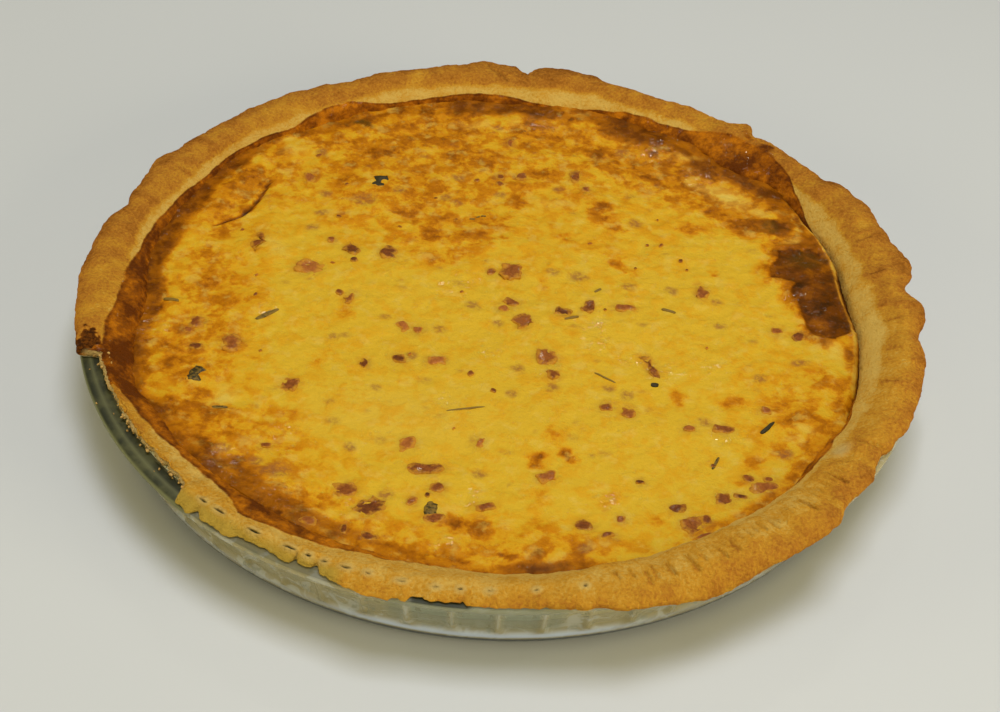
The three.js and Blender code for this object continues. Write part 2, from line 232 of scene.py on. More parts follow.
@dataclass(frozen=True)
class Patch:
    """An oval patch seen from above: its centre, length, width, strength and turn in degrees."""

    x: float
    y: float
    length: float
    width: float
    strength: float = 1.0
    turn: float = 0.0

    def cover(self, x: Array, y: Array, softness: float = 0.8) -> Array:
        """How much the patch covers each place, from 0 to `strength`.

        Args:
            x, y: places.
            softness: share of the patch over which its edge fades.

        Returns:
            The cover at each place.
        """
        angle = math.radians(self.turn)
        along = ((x - self.x) * math.cos(angle) + (y - self.y) * math.sin(angle)) / (self.length / 2)
        across = ((y - self.y) * math.cos(angle) - (x - self.x) * math.sin(angle)) / (self.width / 2)
        away = np.hypot(along, across)
        return self.strength * fade(away, 1 - softness, 1 + softness / 2)


def patches(*rows: tuple[float, ...]) -> tuple[Patch, ...]:
    """Patches from rows of x, y, length, width, strength and, where there is one, turn."""
    return tuple(Patch(*row) for row in rows)


def covered(ovals: tuple[Patch, ...], x: Array, y: Array, softness: float = 0.8) -> Array:
    """How much any of several patches covers each place, from 0 to 1."""
    bare = np.ones_like(x)
    for patch in ovals:
        bare *= 1 - np.clip(patch.cover(x, y, softness), 0, 1)
    return 1 - bare


@dataclass(frozen=True)
class Line:
    """A crack, crease or thread: its corner points in plan, its width and its depth."""

    points: tuple[tuple[float, float], ...]
    width: float
    depth: float

    def cover(self, x: Array, y: Array) -> Array:
        """1 on the line, falling to 0 at its width, thinner towards both ends.

        Args:
            x, y: places.

        Returns:
            The cover at each place.
        """
        best = np.zeros_like(x)
        lengths = [math.dist(a, b) for a, b in zip(self.points, self.points[1:])]
        whole = sum(lengths)
        done = 0.0
        for (start, end), length in zip(zip(self.points, self.points[1:]), lengths):
            step, away = along_and_away(start, end, x, y)
            share = np.clip((done + step * length) / whole, 0, 1)
            width = self.width * (0.35 + 0.65 * np.sin(np.pi * share) ** 0.5)
            best = np.maximum(best, fade(away / width, 0.15, 1))
            done += length
        return best


def along_and_away(start: tuple[float, float], end: tuple[float, float], x: Array,
                   y: Array) -> tuple[Array, Array]:
    """Where along a straight stretch each place lies, 0 to 1, and how far away from it."""
    dx, dy = end[0] - start[0], end[1] - start[1]
    step = np.clip(((x - start[0]) * dx + (y - start[1]) * dy) / (dx * dx + dy * dy), 0, 1)
    return step, np.hypot(x - start[0] - step * dx, y - start[1] - step * dy)


@dataclass(frozen=True)
class Region:
    """A patch with a torn outline: its corner points in plan."""

    points: tuple[tuple[float, float], ...]

    def inside(self, x: Array, y: Array) -> Array:
        """How far inside the outline each place lies, less than 0 outside.

        Args:
            x, y: places.

        Returns:
            The distance at each place.
        """
        within = np.zeros(x.shape, bool)
        nearest = np.full(x.shape, 1e3)
        for start, end in zip(self.points, self.points[1:] + self.points[:1]):
            nearest = np.minimum(nearest, along_and_away(start, end, x, y)[1])
            if start[1] != end[1]:
                crossing = (y - start[1]) / (end[1] - start[1]) * (end[0] - start[0]) + start[0]
                within ^= ((start[1] > y) != (end[1] > y)) & (x < crossing)
        return np.where(within, nearest, -nearest)


def around(table: tuple, azimuth: Array, column: int = 1) -> Array:
    """A value that changes evenly between the azimuths of a table's rows."""
    rows = sorted(table)
    return np.interp(azimuth, [row[0] for row in rows], [row[column] for row in rows], period=FULL_TURN)


# ---------------------------------------------------------------- meshes

def mesh_piece(name: str, points: Array, faces: list, marks: dict[str, Array]) -> Piece:
    """A smooth-shaded piece with its place in its mesh.

    Args:
        name: of the piece.
        points: in millimetres, one row for each.
        faces: corner numbers of each face, counter-clockwise from outside.
        marks: values for each point, by the attribute's name.

    Returns:
        The piece.
    """
    mesh = bpy.data.meshes.new(name)
    mesh.from_pydata((points * MM).tolist(), [], faces)
    for mark, values in marks.items():
        mesh.attributes.new(mark, "FLOAT", "POINT").data.foreach_set("value", values.astype(np.float32))
    mesh.shade_smooth()
    mesh.update()
    piece = bpy.data.objects.new(name, mesh)
    bpy.context.scene.collection.objects.link(piece)
    return piece


def turned_faces(rows: int, columns: int) -> list:
    """Faces of a closed turned skin: `rows` rings of `columns` points, then a point at each pole.

    Args:
        rows: rings, the first the lowest of the outside, going out, up and in.
        columns: points in a ring.

    Returns:
        Corner numbers of each face, facing outwards.
    """
    row, column = np.meshgrid(np.arange(rows - 1), np.arange(columns), indexing="ij")
    after = (column + 1) % columns
    corners = [row * columns + column, row * columns + after, (row + 1) * columns + after,
               (row + 1) * columns + column]
    faces = np.stack(corners, -1).reshape(-1, 4).tolist()
    first, last = rows * columns, rows * columns + 1
    top = (rows - 1) * columns
    for step in range(columns):
        beside = (step + 1) % columns
        faces.append([first, beside, step])
        faces.append([last, top + step, top + beside])
    return faces


def turned_piece(name: str, rings: Array, low: float, high: float, marks: dict[str, Array]) -> Piece:
    """A closed turned piece.

    Args:
        name: of the piece.
        rings: points by ring and azimuth, from the underside out, up and in again.
        low: height of the lower pole.
        high: height of the upper pole.
        marks: values by ring and azimuth, by the attribute's name.

    Returns:
        The piece.
    """
    rows, columns = rings.shape[:2]
    points = np.concatenate([rings.reshape(-1, 3), [[0, 0, low], [0, 0, high]]])
    flat_marks = {mark: np.append(values.reshape(-1), [0, 0]) for mark, values in marks.items()}
    return mesh_piece(name, points, turned_faces(rows, columns), flat_marks)


def along_section(corners: list[Array], steps: list[int]) -> Array:
    """Points along straight stretches between a section's corners.

    Args:
        corners: each an array of (radius, height) for every azimuth.
        steps: how many steps each stretch takes.

    Returns:
        Radius and height by row and azimuth.
    """
    rows = [corners[0]]
    for start, end, count in zip(corners, corners[1:], steps):
        rows.extend(start + (end - start) * (step + 1) / count for step in range(count))
    return np.stack(rows)


def rounded(rows: Array, first: int, last: int, passes: int) -> Array:
    """A section whose corners between two rows are rounded off.

    Args:
        rows: radius and height by row and azimuth.
        first: row where the rounding begins.
        last: row where it ends.
        passes: how often each row is set between its neighbours.

    Returns:
        The rounded section.
    """
    made = rows.copy()
    for _ in range(passes):
        between = (made[first:last - 1] + 2 * made[first + 1:last] + made[first + 2:last + 1]) / 4
        made[first + 1:last] = between
    return made


def outward(rings: Array) -> Array:
    """Unit normals of a turned skin, by ring and azimuth."""
    round_axis = np.roll(rings, -1, 1) - np.roll(rings, 1, 1)
    up_skin = np.gradient(rings, axis=0)
    normal = np.cross(round_axis, up_skin)
    return normal / np.maximum(np.linalg.norm(normal, axis=-1, keepdims=True), 1e-9)


# ---------------------------------------------------------------- node trees

class Nodes:
    """Adds the nodes of one tree and joins them."""

    def __init__(self, tree: bpy.types.NodeTree) -> None:
        """Keeps the tree."""
        self.tree = tree

    def add(self, kind: str, inputs: dict[Any, Any] | None = None, **settings: Any) -> bpy.types.Node:
        """Adds a node.

        Args:
            kind: the node's type.
            inputs: sockets to link or values to set, by input name or number.
            settings: the node's own settings.

        Returns:
            The node.
        """
        node = self.tree.nodes.new(kind)
        for key, value in settings.items():
            setattr(node, key, value)
        for key, value in (inputs or {}).items():
            if isinstance(value, Socket):
                self.tree.links.new(value, node.inputs[key])
            else:
                node.inputs[key].default_value = value
        return node

    def math(self, operation: str, first: Any, second: Any = 0.0, third: Any = 0.0,
             clamp: bool = False) -> Socket:
        """The result of a sum of up to three numbers."""
        inputs = {0: first, 1: second, 2: third}
        return self.add("ShaderNodeMath", inputs, operation=operation, use_clamp=clamp).outputs[0]

    def times(self, first: Any, second: Any) -> Socket:
        """The product of two numbers."""
        return self.math("MULTIPLY", first, second)

    def plus(self, first: Any, second: Any, clamp: bool = False) -> Socket:
        """The sum of two numbers, kept from 0 to 1 if clamped."""
        return self.math("ADD", first, second, clamp=clamp)

    def scaled(self, value: Any, factor: Any, shift: Any, clamp: bool = False) -> Socket:
        """A value times a factor, and then shifted."""
        return self.math("MULTIPLY_ADD", value, factor, shift, clamp)

    def swing(self, value: Any, reach: float) -> Socket:
        """A value from 0 to 1 made to swing about 0, over `reach` in all."""
        return self.scaled(value, reach, -reach / 2)

    def length(self, vector: Socket) -> Socket:
        """The length of a vector."""
        return self.add("ShaderNodeVectorMath", {0: vector}, operation="LENGTH").outputs["Value"]

    def vector_math(self, operation: str, first: Any, second: Any = (0, 0, 0),
                    scale: Any = 1.0) -> Socket:
        """The vector that a vector sum gives."""
        inputs = {0: first, 3: scale} if operation == "SCALE" else {0: first, 1: second}
        return self.add("ShaderNodeVectorMath", inputs, operation=operation).outputs[0]

    def eased(self, value: Any, low: Any, high: Any, start: Any = 0.0, end: Any = 1.0) -> Socket:
        """`start` below `low`, `end` above `high`, and a smooth change between them."""
        inputs = {"Value": value, "From Min": low, "From Max": high, "To Min": start, "To Max": end}
        return self.add("ShaderNodeMapRange", inputs, interpolation_type="SMOOTHSTEP").outputs["Result"]


class Shader(Nodes):
    """A material's nodes, with the short forms that the finishes use."""

    def __init__(self, name: str) -> None:
        """Starts a material of this name with a Principled surface."""
        self.material = bpy.data.materials.new(name)
        self.material.use_nodes = True
        super().__init__(self.material.node_tree)
        self.surface = self.tree.nodes["Principled BSDF"]
        self.place = self.add("ShaderNodeTexCoord").outputs["Object"]

    def set(self, **inputs: Any) -> None:
        """Sets or links the surface's inputs, whose names are given with _ for a space."""
        for key, value in inputs.items():
            socket = self.surface.inputs[key.replace("_", " ")]
            if isinstance(value, Socket):
                self.tree.links.new(value, socket)
            else:
                socket.default_value = value

    def mark(self, name: str) -> Socket:
        """A piece's own attribute."""
        return self.add("ShaderNodeAttribute", attribute_name=name).outputs["Fac"]

    def noise(self, size: float, detail: float = 3.0, roughness: float = 0.55, shift: float = 0.0,
              twist: float = 0.0, stretch: float = 1.0) -> Socket:
        """Noise from 0 to 1.

        Args:
            size: of the largest lumps in millimetres.
            detail: layers of finer lumps.
            roughness: strength of the finer layers.
            shift: moves to another part of the pattern.
            twist: how much the lumps are drawn out and curled.
            stretch: how many times as long the lumps are along x.

        Returns:
            The noise.
        """
        scale = (1 / (size * stretch * MM), 1 / (size * MM), 1 / (size * MM))
        mapping = {"Vector": self.place, "Location": (shift,) * 3, "Scale": scale}
        mapped = self.add("ShaderNodeMapping", mapping).outputs[0]
        inputs = {"Vector": mapped, "Scale": 1.0, "Detail": detail, "Roughness": roughness,
                  "Distortion": twist}
        return self.add("ShaderNodeTexNoise", inputs).outputs["Fac"]

    def ramp(self, value: Socket, *stops: tuple[float, Colour]) -> Socket:
        """A colour picked by a value from 0 to 1.

        Args:
            value: what picks.
            stops: places and colours along the ramp.

        Returns:
            The colour.
        """
        node = self.add("ShaderNodeValToRGB", {"Fac": value})
        elements = node.color_ramp.elements
        while len(elements) < len(stops):
            elements.new(1.0)
        for element, (at, colour) in zip(elements, stops):
            element.position = at
            element.color = colour
        return node.outputs["Color"]

    def blend(self, share: Any, under: Any, over: Any) -> Socket:
        """One colour over another, by the upper one's share."""
        return self.add("ShaderNodeMix", {"Factor": share, 6: under, 7: over}, data_type="RGBA").outputs[2]

    def layered(self, under: Any, *layers: tuple[Any, Any]) -> Socket:
        """Colours laid one over another.

        Args:
            under: the lowest colour.
            layers: the share and colour of each one over it, from the lowest up.

        Returns:
            The colour.
        """
        for share, over in layers:
            under = self.blend(share, under, over)
        return under

    def relief(self, height: Socket, depth: float, strength: float = 1.0) -> Socket:
        """The normal of a relief with heights from 0 to 1, its depth in mm and the share that shows."""
        inputs = {"Height": height, "Distance": depth * MM, "Strength": strength}
        return self.add("ShaderNodeBump", inputs).outputs["Normal"]


def paint(red: int, green: int, blue: int) -> Colour:
    """A colour from screen values of 0 to 255."""
    def linear(value: float) -> float:
        """Screen value to light."""
        return value / 12.92 if value <= 0.04045 else ((value + 0.055) / 1.055) ** 2.4

    return (linear(red / 255), linear(green / 255), linear(blue / 255), 1.0)


class Growth(Nodes):
    """A Geometry Nodes tree with named inputs, whose result becomes a plain mesh."""

    def __init__(self, name: str) -> None:
        """Starts a tree of this name that takes and gives geometry."""
        super().__init__(bpy.data.node_groups.new(name, "GeometryNodeTree"))
        self.values: dict[str, Any] = {}
        self.tree.interface.new_socket("Geometry", in_out="INPUT", socket_type="NodeSocketGeometry")
        self.tree.interface.new_socket("Geometry", in_out="OUTPUT", socket_type="NodeSocketGeometry")
        self.entry = self.add("NodeGroupInput")
        self.exit = self.add("NodeGroupOutput")
        self.geometry = self.entry.outputs["Geometry"]

    def size(self, name: str, value: float) -> Socket:
        """A named input of the tree, with the value that the piece gives it."""
        kind = "NodeSocketInt" if isinstance(value, int) else "NodeSocketFloat"
        item = self.tree.interface.new_socket(name, in_out="INPUT", socket_type=kind)
        self.values[item.identifier] = value
        return self.entry.outputs[name]

    def mark(self, name: str) -> Socket:
        """An attribute that the points carry."""
        return self.add("GeometryNodeInputNamedAttribute", {"Name": name}).outputs["Attribute"]

    def position(self) -> Socket:
        """The place of each point."""
        return self.add("GeometryNodeInputPosition").outputs[0]

    def vector(self, **sizes: Any) -> Socket:
        """A vector from its sizes along X, Y and Z."""
        return self.add("ShaderNodeCombineXYZ", sizes).outputs[0]

    def planted(self, shape: Socket, turn: Socket, size: Socket) -> Socket:
        """A shape on each of the piece's points, turned in radians, sized and made real."""
        inputs = {"Points": self.geometry, "Instance": shape, "Rotation": turn, "Scale": size}
        planted = self.add("GeometryNodeInstanceOnPoints", inputs).outputs[0]
        return self.add("GeometryNodeRealizeInstances", {"Geometry": planted}).outputs[0]

    def moved(self, geometry: Socket, offset: Socket) -> Socket:
        """The geometry with each point moved."""
        inputs = {"Geometry": geometry, "Offset": offset}
        return self.add("GeometryNodeSetPosition", inputs).outputs[0]

    def keep(self, geometry: Socket, name: str, value: Socket) -> Socket:
        """The geometry with a value kept as its attribute."""
        inputs = {"Geometry": geometry, "Name": name, "Value": value}
        return self.add("GeometryNodeStoreNamedAttribute", inputs).outputs[0]

    def finish(self, geometry: Socket, material: Material) -> None:
        """Ends the tree with what it has made, smooth and with its material."""
        shaded = self.add("GeometryNodeSetShadeSmooth", {"Geometry": geometry}).outputs[0]
        dressed = self.add("GeometryNodeSetMaterial", {"Geometry": shaded, "Material": material}).outputs[0]
        self.tree.links.new(dressed, self.exit.inputs["Geometry"])

    def grow(self, piece: Piece) -> Piece:
        """Runs the tree on a piece and keeps the result as its plain mesh.

        Args:
            piece: that the tree works on.

        Returns:
            The piece.
        """
        modifier = piece.modifiers.new(self.tree.name, "NODES")
        modifier.node_group = self.tree
        for identifier, value in self.values.items():
            modifier[identifier] = value
        seen = piece.evaluated_get(bpy.context.evaluated_depsgraph_get())
        mesh = bpy.data.meshes.new_from_object(seen)
        piece.modifiers.remove(modifier)
        piece.data = mesh
        mesh.name = piece.name
        return piece


# ---------------------------------------------------------------- finishes

@dataclass(frozen=True)
class GlassFinish:
    """Pressed glass, milky over its dough, with a painted highlight and a painted glow at its heel, a
    painted contact shadow at its foot and painted shade in dark green along its bare rim.
    """

    wall: Colour = paint(212, 198, 150)
    # painted highlight: near white, on the flute ridges and in pale streaks of painted reflection
    ridge: Colour = paint(246, 248, 240)
    panel: Colour = paint(176, 180, 156)
    # painted highlight: the bluish-white band along the heel
    heel: Colour = paint(200, 212, 228)
    # painted contact shadow: the dark bluish line where the glass meets the table
    foot: Colour = paint(70, 78, 90)
    # painted shade: dark green for the light lost inside the thick glass of the rim, patched paler
    rim: Colour = paint(42, 44, 22)
    rim_pale: Colour = paint(80, 80, 46)
    rim_light: Colour = paint(126, 126, 82)
    roughness: float = 0.08
    dull: float = 0.45  # how much rougher the greasy rim is
    bend: float = 1.5
    gloss: float = 0.25
    clear: float = 0.3  # share of the light that passes into the glass
    cover: float = 0.6  # the rest of the light passes straight through
    mirror: float = 0.3  # how much the heel reflects the table
    # colour of the painted glow at the heel, though the glass is no lamp
    painted_glow_colour: Colour = paint(206, 216, 230)
    glow: float = 0.16  # painted glow: emission that brightens the heel's painted highlight
    faint: float = 0.15  # how clearly the flutes show away from the front
    waves: float = 5.0  # length of the slow waves in its surface
    wave_depth: float = 0.08

    def make(self) -> Material:
        """The glass material."""
        shader = Shader("pressed_glass")
        rim, heel, foot = shader.mark("rim"), shader.mark("heel"), shader.mark("foot")
        shown = shader.scaled(shader.mark("front"), 1 - self.faint, self.faint)
        # painted reflection: pale streaks over the wall
        reflection_streaks = shader.eased(shader.noise(7.0, 3.0, 0.6, twist=1.0), 0.5, 0.62)
        stains = shader.eased(shader.noise(5.0, 3.0, 0.6, shift=5.0, twist=0.6), 0.56, 0.66, 0.0, 0.6)
        patched = shader.eased(shader.noise(9.0, 3.0, 0.6, shift=8.0), 0.42, 0.66)
        tint = shader.layered(
            self.wall,
            (shader.times(reflection_streaks, 0.7), self.ridge),
            (stains, self.panel),
            (shader.times(shader.mark("panel"), shown), self.panel),
            # painted highlight on the ridges
            (shader.times(shader.times(shader.mark("ridge"), 0.5), shown), self.ridge),
            (shader.times(shader.mark("side"), 0.8), self.panel),
            # painted highlight along the heel
            (heel, self.heel),
            # painted contact shadow along the foot
            (foot, self.foot),
            # painted shade on the rim, dark green
            (rim, shader.blend(patched, self.rim, self.rim_pale)),
            (shader.mark("line"), self.rim_light),
        )
        dense = shader.math("MAXIMUM", rim, shader.math("MAXIMUM", heel, foot))
        shader.set(Base_Color=tint, Roughness=shader.scaled(rim, self.dull, self.roughness), IOR=self.bend,
                   Transmission_Weight=self.clear, Alpha=shader.scaled(dense, 1 - self.cover, self.cover),
                   Specular_IOR_Level=self.gloss, Metallic=shader.times(heel, self.mirror),
                   Emission_Color=self.painted_glow_colour, Emission_Strength=shader.times(heel, self.glow),
                   Normal=shader.relief(shader.noise(self.waves, 1.0), self.wave_depth))
        return shader.material


@dataclass(frozen=True)
class PastryFinish:
    """Baked shortcrust: tan and matte, browned by the oven and filmed over where custard boiled up."""

    pale: Colour = paint(214, 174, 86)
    tan: Colour = paint(202, 145, 43)
    golden: Colour = paint(178, 115, 38)
    brown: Colour = paint(124, 68, 14)
    burnt: Colour = paint(62, 32, 8)
    film_light: Colour = paint(196, 116, 12)
    film_mid: Colour = paint(150, 82, 6)
    film_dark: Colour = paint(100, 48, 4)
    crumb: Colour = paint(198, 166, 104)
    thin: Colour = paint(176, 150, 62)
    raw: Colour = paint(236, 222, 170)
    # the next colour is a painted reflection of the pale surroundings in the glass over the raw dough
    reflection_tint: Colour = paint(214, 220, 206)
    # painted shade inside the slits and down the crevice
    slit: Colour = paint(70, 70, 52)
    grain_size: float = 1.0
    mottle_size: float = 6.0

    def make(self) -> Material:
        """The pastry material."""
        shader = Shader("baked_shortcrust")
        mottle = shader.noise(self.mottle_size, 5.0, 0.6)
        fine = shader.noise(self.grain_size, 4.0, 0.65)
        crumb = shader.mark("crumb")
        bake = shader.plus(shader.mark("bake"), shader.swing(mottle, 0.5))
        bake = shader.plus(bake, shader.swing(fine, 0.75), clamp=True)
        crust = shader.ramp(bake, (0.0, self.pale), (0.28, self.tan), (0.5, self.golden),
                            (0.78, self.brown), (1.0, self.burnt))
        film_mottle = shader.noise(8.0, 4.0, 0.55, shift=3.0, twist=0.2)
        line = shader.plus(shader.mark("film"), shader.swing(film_mottle, 0.16))
        film = shader.eased(line, 0.47, 0.53)
        border = shader.times(film, shader.eased(line, 0.53, 0.62, 0.35, 0.0))
        spots = shader.noise(2.2, 3.0, 0.6, shift=11.0)
        depth = shader.plus(shader.mark("depth"), shader.swing(film_mottle, 2.6))
        depth = shader.plus(depth, shader.swing(spots, 1.7))
        depth = shader.plus(depth, border, clamp=True)
        filmed = shader.ramp(depth, (0.0, self.film_light), (0.5, self.film_mid), (1.0, self.film_dark))
        colour = shader.layered(
            crust,
            (shader.times(shader.mark("thin"), 0.75), self.thin),
            (film, filmed),
            (crumb, self.crumb),
            # painted reflection over the raw dough behind the glass
            (shader.mark("raw"), shader.blend(shader.mark("glass_reflection"), self.raw, self.reflection_tint)),
            # painted shade in the slits and the crevice
            (shader.mark("slit"), self.slit),
        )
        height = shader.plus(fine, shader.times(mottle, 0.5))
        height = shader.plus(height, shader.times(crumb, shader.noise(0.7, 2.0)))
        glaze = shader.relief(shader.noise(2.6, 1.0, shift=6.0), 0.4)
        shader.set(Base_Color=colour, Roughness=shader.scaled(film, -0.4, 0.8), Specular_IOR_Level=0.05,
                   Normal=shader.relief(height, 1.2), Coat_Weight=shader.times(film, 0.06),
                   Coat_Roughness=0.06, Coat_Normal=glaze)
        return shader.material


@dataclass(frozen=True)
class CustardFinish:
    """Set egg custard under its baked skin, from cream over yellow and orange to burnt brown, with a
    painted sheen of cream streaks.
    """

    # cream: colour of the pale patches and of the painted sheen
    cream: Colour = paint(214, 182, 82)
    yellow: Colour = paint(208, 167, 42)
    golden: Colour = paint(208, 152, 26)
    orange: Colour = paint(194, 123, 10)
    rust: Colour = paint(162, 94, 4)
    brown: Colour = paint(108, 56, 2)
    burnt: Colour = paint(62, 32, 2)
    ghost: Colour = paint(144, 92, 48)
    olive: Colour = paint(92, 72, 14)
    clouds: float = 13.0  # size of the orange clouds
    mottles: float = 6.0
    freckles: float = 1.6

    def make(self) -> Material:
        """The custard material."""
        shader = Shader("baked_custard")
        brown = shader.mark("brown")
        clouds = shader.noise(self.clouds, 4.0, 0.55, shift=2.0)
        mottles = shader.noise(self.mottles, 5.0, 0.6, shift=7.0, twist=0.15)
        freckles = shader.noise(self.freckles, 4.0, 0.62, shift=5.0)
        sheen = shader.noise(self.mottles, 4.0, 0.6, shift=12.0, twist=0.15)
        lively = shader.times(shader.eased(brown, 0.1, 0.35, 0.36, 0.64),
                              shader.eased(brown, 0.45, 0.75, 1.0, 0.4))
        change = shader.plus(shader.swing(shader.eased(mottles, 0.4, 0.6), 0.5), shader.swing(clouds, 1.1))
        change = shader.plus(change, shader.swing(freckles, 0.7))
        bake = shader.scaled(change, lively, shader.scaled(brown, 0.94, 0.03), clamp=True)
        skin = shader.ramp(bake, (0.0, self.yellow), (0.2, self.golden), (0.4, self.orange),
                           (0.62, self.rust), (0.82, self.brown), (1.0, self.burnt))
        # painted sheen: pale cream streaks, kept off the brown, stand in for glossy highlights on the skin
        light = shader.times(shader.eased(sheen, 0.52, 0.68, 0.0, 0.4),
                             shader.eased(brown, 0.55, 0.75, 1.0, 0.0))
        pale = shader.times(shader.mark("pale"), shader.eased(mottles, 0.35, 0.6, 1.0, 0.35))
        skin = shader.layered(
            skin,
            (shader.math("MAXIMUM", light, pale), self.cream),
            (shader.times(shader.mark("ghost"), shader.eased(freckles, 0.35, 0.6, 0.3, 0.9)), self.ghost),
            (shader.times(shader.mark("olive"), shader.eased(mottles, 0.35, 0.6, 0.4, 1.0)), self.olive),
        )
        height = shader.scaled(freckles, 0.5, mottles)
        ripples = shader.noise(1.9, 1.5, 0.5, shift=9.0, twist=0.4, stretch=1.8)
        wet = shader.times(shader.mark("wet"), shader.eased(mottles, 0.4, 0.55, 0.5, 1.0))
        beads = shader.eased(shader.noise(1.5, 2.0, 0.5, shift=14.0, stretch=1.5), 0.5, 0.56)
        coat = shader.plus(shader.times(wet, beads), 0.02, clamp=True)
        shader.set(Base_Color=skin, Roughness=0.42, Specular_IOR_Level=0.03,
                   Normal=shader.relief(height, 0.9, 0.9), Coat_Weight=coat, Coat_Roughness=0.03,
                   Coat_Normal=shader.relief(ripples, 1.5))
        return shader.material


@dataclass(frozen=True)
class HamFinish:
    """Cured ham, pink to mauve-brown, with a wet baked face."""

    pink: Colour = paint(170, 100, 42)
    mauve: Colour = paint(132, 72, 28)
    dark: Colour = paint(86, 44, 18)
    coated: Colour = paint(196, 138, 38)

    def make(self) -> Material:
        """The ham material."""
        shader = Shader("cured_ham")
        flecks = shader.swing(shader.noise(1.3, 4.0, 0.65), 1.3)
        tone = shader.plus(shader.mark("shade"), flecks, clamp=True)
        colour = shader.ramp(tone, (0.0, self.dark), (0.45, self.mauve), (1.0, self.pink))
        ragged = shader.swing(shader.noise(1.6, 3.0, shift=4.0), 1.4)
        border = shader.plus(shader.mark("from_heart"), ragged)
        colour = shader.blend(shader.eased(border, 0.55, 1.15, 0.0, 0.8), colour, self.coated)
        normal = shader.relief(shader.noise(0.8, 3.0), 0.35)
        shader.set(Base_Color=colour, Roughness=0.38, Normal=normal, Coat_Weight=0.05, Coat_Roughness=0.1,
                   Specular_IOR_Level=0.05)
        return shader.material


@dataclass(frozen=True)
class HerbFinish:
    """Dried herb, black-green with an olive bloom."""

    dark: Colour = paint(50, 42, 16)
    olive: Colour = paint(126, 98, 34)

    def make(self) -> Material:
        """The herb material."""
        shader = Shader("dried_herb")
        bloom = shader.plus(shader.noise(1.2, 3.0), shader.scaled(shader.mark("dark"), -0.8, 0.4))
        colour = shader.blend(shader.eased(bloom, 0.35, 0.6), self.dark, self.olive)
        shader.set(Base_Color=colour, Roughness=0.45, Normal=shader.relief(shader.noise(0.6, 2.0), 0.1),
                   Specular_IOR_Level=0.15)
        return shader.material


@dataclass(frozen=True)
class CrumbFinish:
    """Loose crumbs of baked shortcrust."""

    pale: Colour = paint(206, 174, 108)
    tan: Colour = paint(178, 128, 58)

    def make(self) -> Material:
        """The crumbs' material."""
        shader = Shader("shortcrust_crumbs")
        colour = shader.blend(shader.noise(1.4, 3.0), self.pale, self.tan)
        shader.set(Base_Color=colour, Roughness=0.85, Specular_IOR_Level=0.2)
        return shader.material


@dataclass(frozen=True)
class TableFinish:
    """A plain pale table top."""

    light: Colour = paint(202, 204, 208)
    shade: Colour = paint(199, 201, 204)

    def make(self) -> Material:
        """The table's material."""
        shader = Shader("pale_table")
        colour = shader.blend(shader.noise(160.0, 2.0), self.light, self.shade)
        shader.set(Base_Color=colour, Roughness=0.6)
        return shader.material


# ---------------------------------------------------------------- glass dish

FLUTE_COUNT = 64


@dataclass(frozen=True)
class Flutes:
    """The flutes pressed in the glass wall: flat panels between thin upright ridges."""

    count: int = FLUTE_COUNT
    depth: float = 1.2  # how far a panel lies inside its ridges
    first_ridge: float = FULL_TURN / FLUTE_COUNT / 3  # azimuth of a ridge
    foot: float = 7.4  # height where a panel begins, in its middle
    arch: float = 3.6  # how much higher it begins beside a ridge
    head: float = 22.6  # height where it ends
    ridge_share: float = 0.3  # of the pitch, with the slopes of the ridge
    below_foot: float = 1.0  # a panel slopes in from this far below its foot
    above_foot: float = 1.5  # to this far above it
    head_slope: float = 2.0  # and runs out over this height at its head

    def inset(self, azimuth: Array, height: Array) -> Array:
        """How far the wall lies inside its ridges.

        Args:
            azimuth: in degrees.
            height: above the table.

        Returns:
            The inset at each place.
        """
        phase = (azimuth - self.first_ridge) * self.count / FULL_TURN % 1
        off_middle = np.abs(2 * phase - 1)
        panel = fade(off_middle, 1 - self.ridge_share, 1)
        above = smooth(height - self.foot - self.arch * off_middle ** 4, -self.below_foot, self.above_foot)
        below = fade(height, self.head - self.head_slope, self.head)
        return self.depth * panel * above * below

    def press(self, material: Material) -> Growth:
        """The tree that presses the flutes into a plain turned dish of some material."""
        tree = Growth("flutes_of_the_dish")
        count = tree.size("Flutes", float(self.count))
        depth = tree.size("Depth", self.depth * MM)
        first = tree.size("First ridge in flutes", self.first_ridge * self.count / FULL_TURN)
        foot = tree.size("Foot height", self.foot * MM)
        arch = tree.size("Arch of the foot", self.arch * MM)
        head = tree.size("Head height", self.head * MM)
        ridge = tree.size("Ridge share", self.ridge_share)
        where = tree.add("ShaderNodeSeparateXYZ", {0: tree.position()}).outputs
        turns = tree.math("DIVIDE", tree.math("ARCTAN2", where["Y"], where["X"]), math.tau)
        flute = tree.math("SUBTRACT", tree.times(turns, count), first)
        phase = tree.math("FRACT", tree.plus(flute, float(self.count)))
        off_middle = tree.math("ABSOLUTE", tree.scaled(phase, 2.0, -1.0))
        panel = tree.eased(off_middle, tree.math("SUBTRACT", 1.0, ridge), 1.0, 1.0, 0.0)
        rise = tree.scaled(tree.math("POWER", off_middle, 4.0), arch, foot)
        above = tree.math("SUBTRACT", where["Z"], rise)
        above = tree.eased(above, -self.below_foot * MM, self.above_foot * MM)
        below = tree.eased(where["Z"], tree.math("SUBTRACT", head, self.head_slope * MM), head, 1.0, 0.0)
        within = tree.times(above, below)
        inset = tree.times(tree.times(panel, depth), within)
        sideways = tree.vector(X=where["X"], Y=where["Y"])
        radial = tree.vector_math("NORMALIZE", sideways)
        offset = tree.vector_math("SCALE", radial, scale=tree.times(inset, -1.0))
        outside = tree.times(within, tree.eased(tree.length(sideways), 130.5 * MM, 131.5 * MM))
        fading = tree.eased(where["Z"], 8 * MM, 17 * MM, 0.55, 1.0)
        marked = tree.keep(tree.geometry, "panel", tree.times(tree.times(outside, panel), fading))
        # the ridge mark places the painted highlight on the ridges
        marked = tree.keep(marked, "ridge", tree.times(outside, tree.eased(off_middle, 0.88, 0.97)))
        tree.finish(tree.moved(marked, offset), material)
        return tree


FLUTES = Flutes()


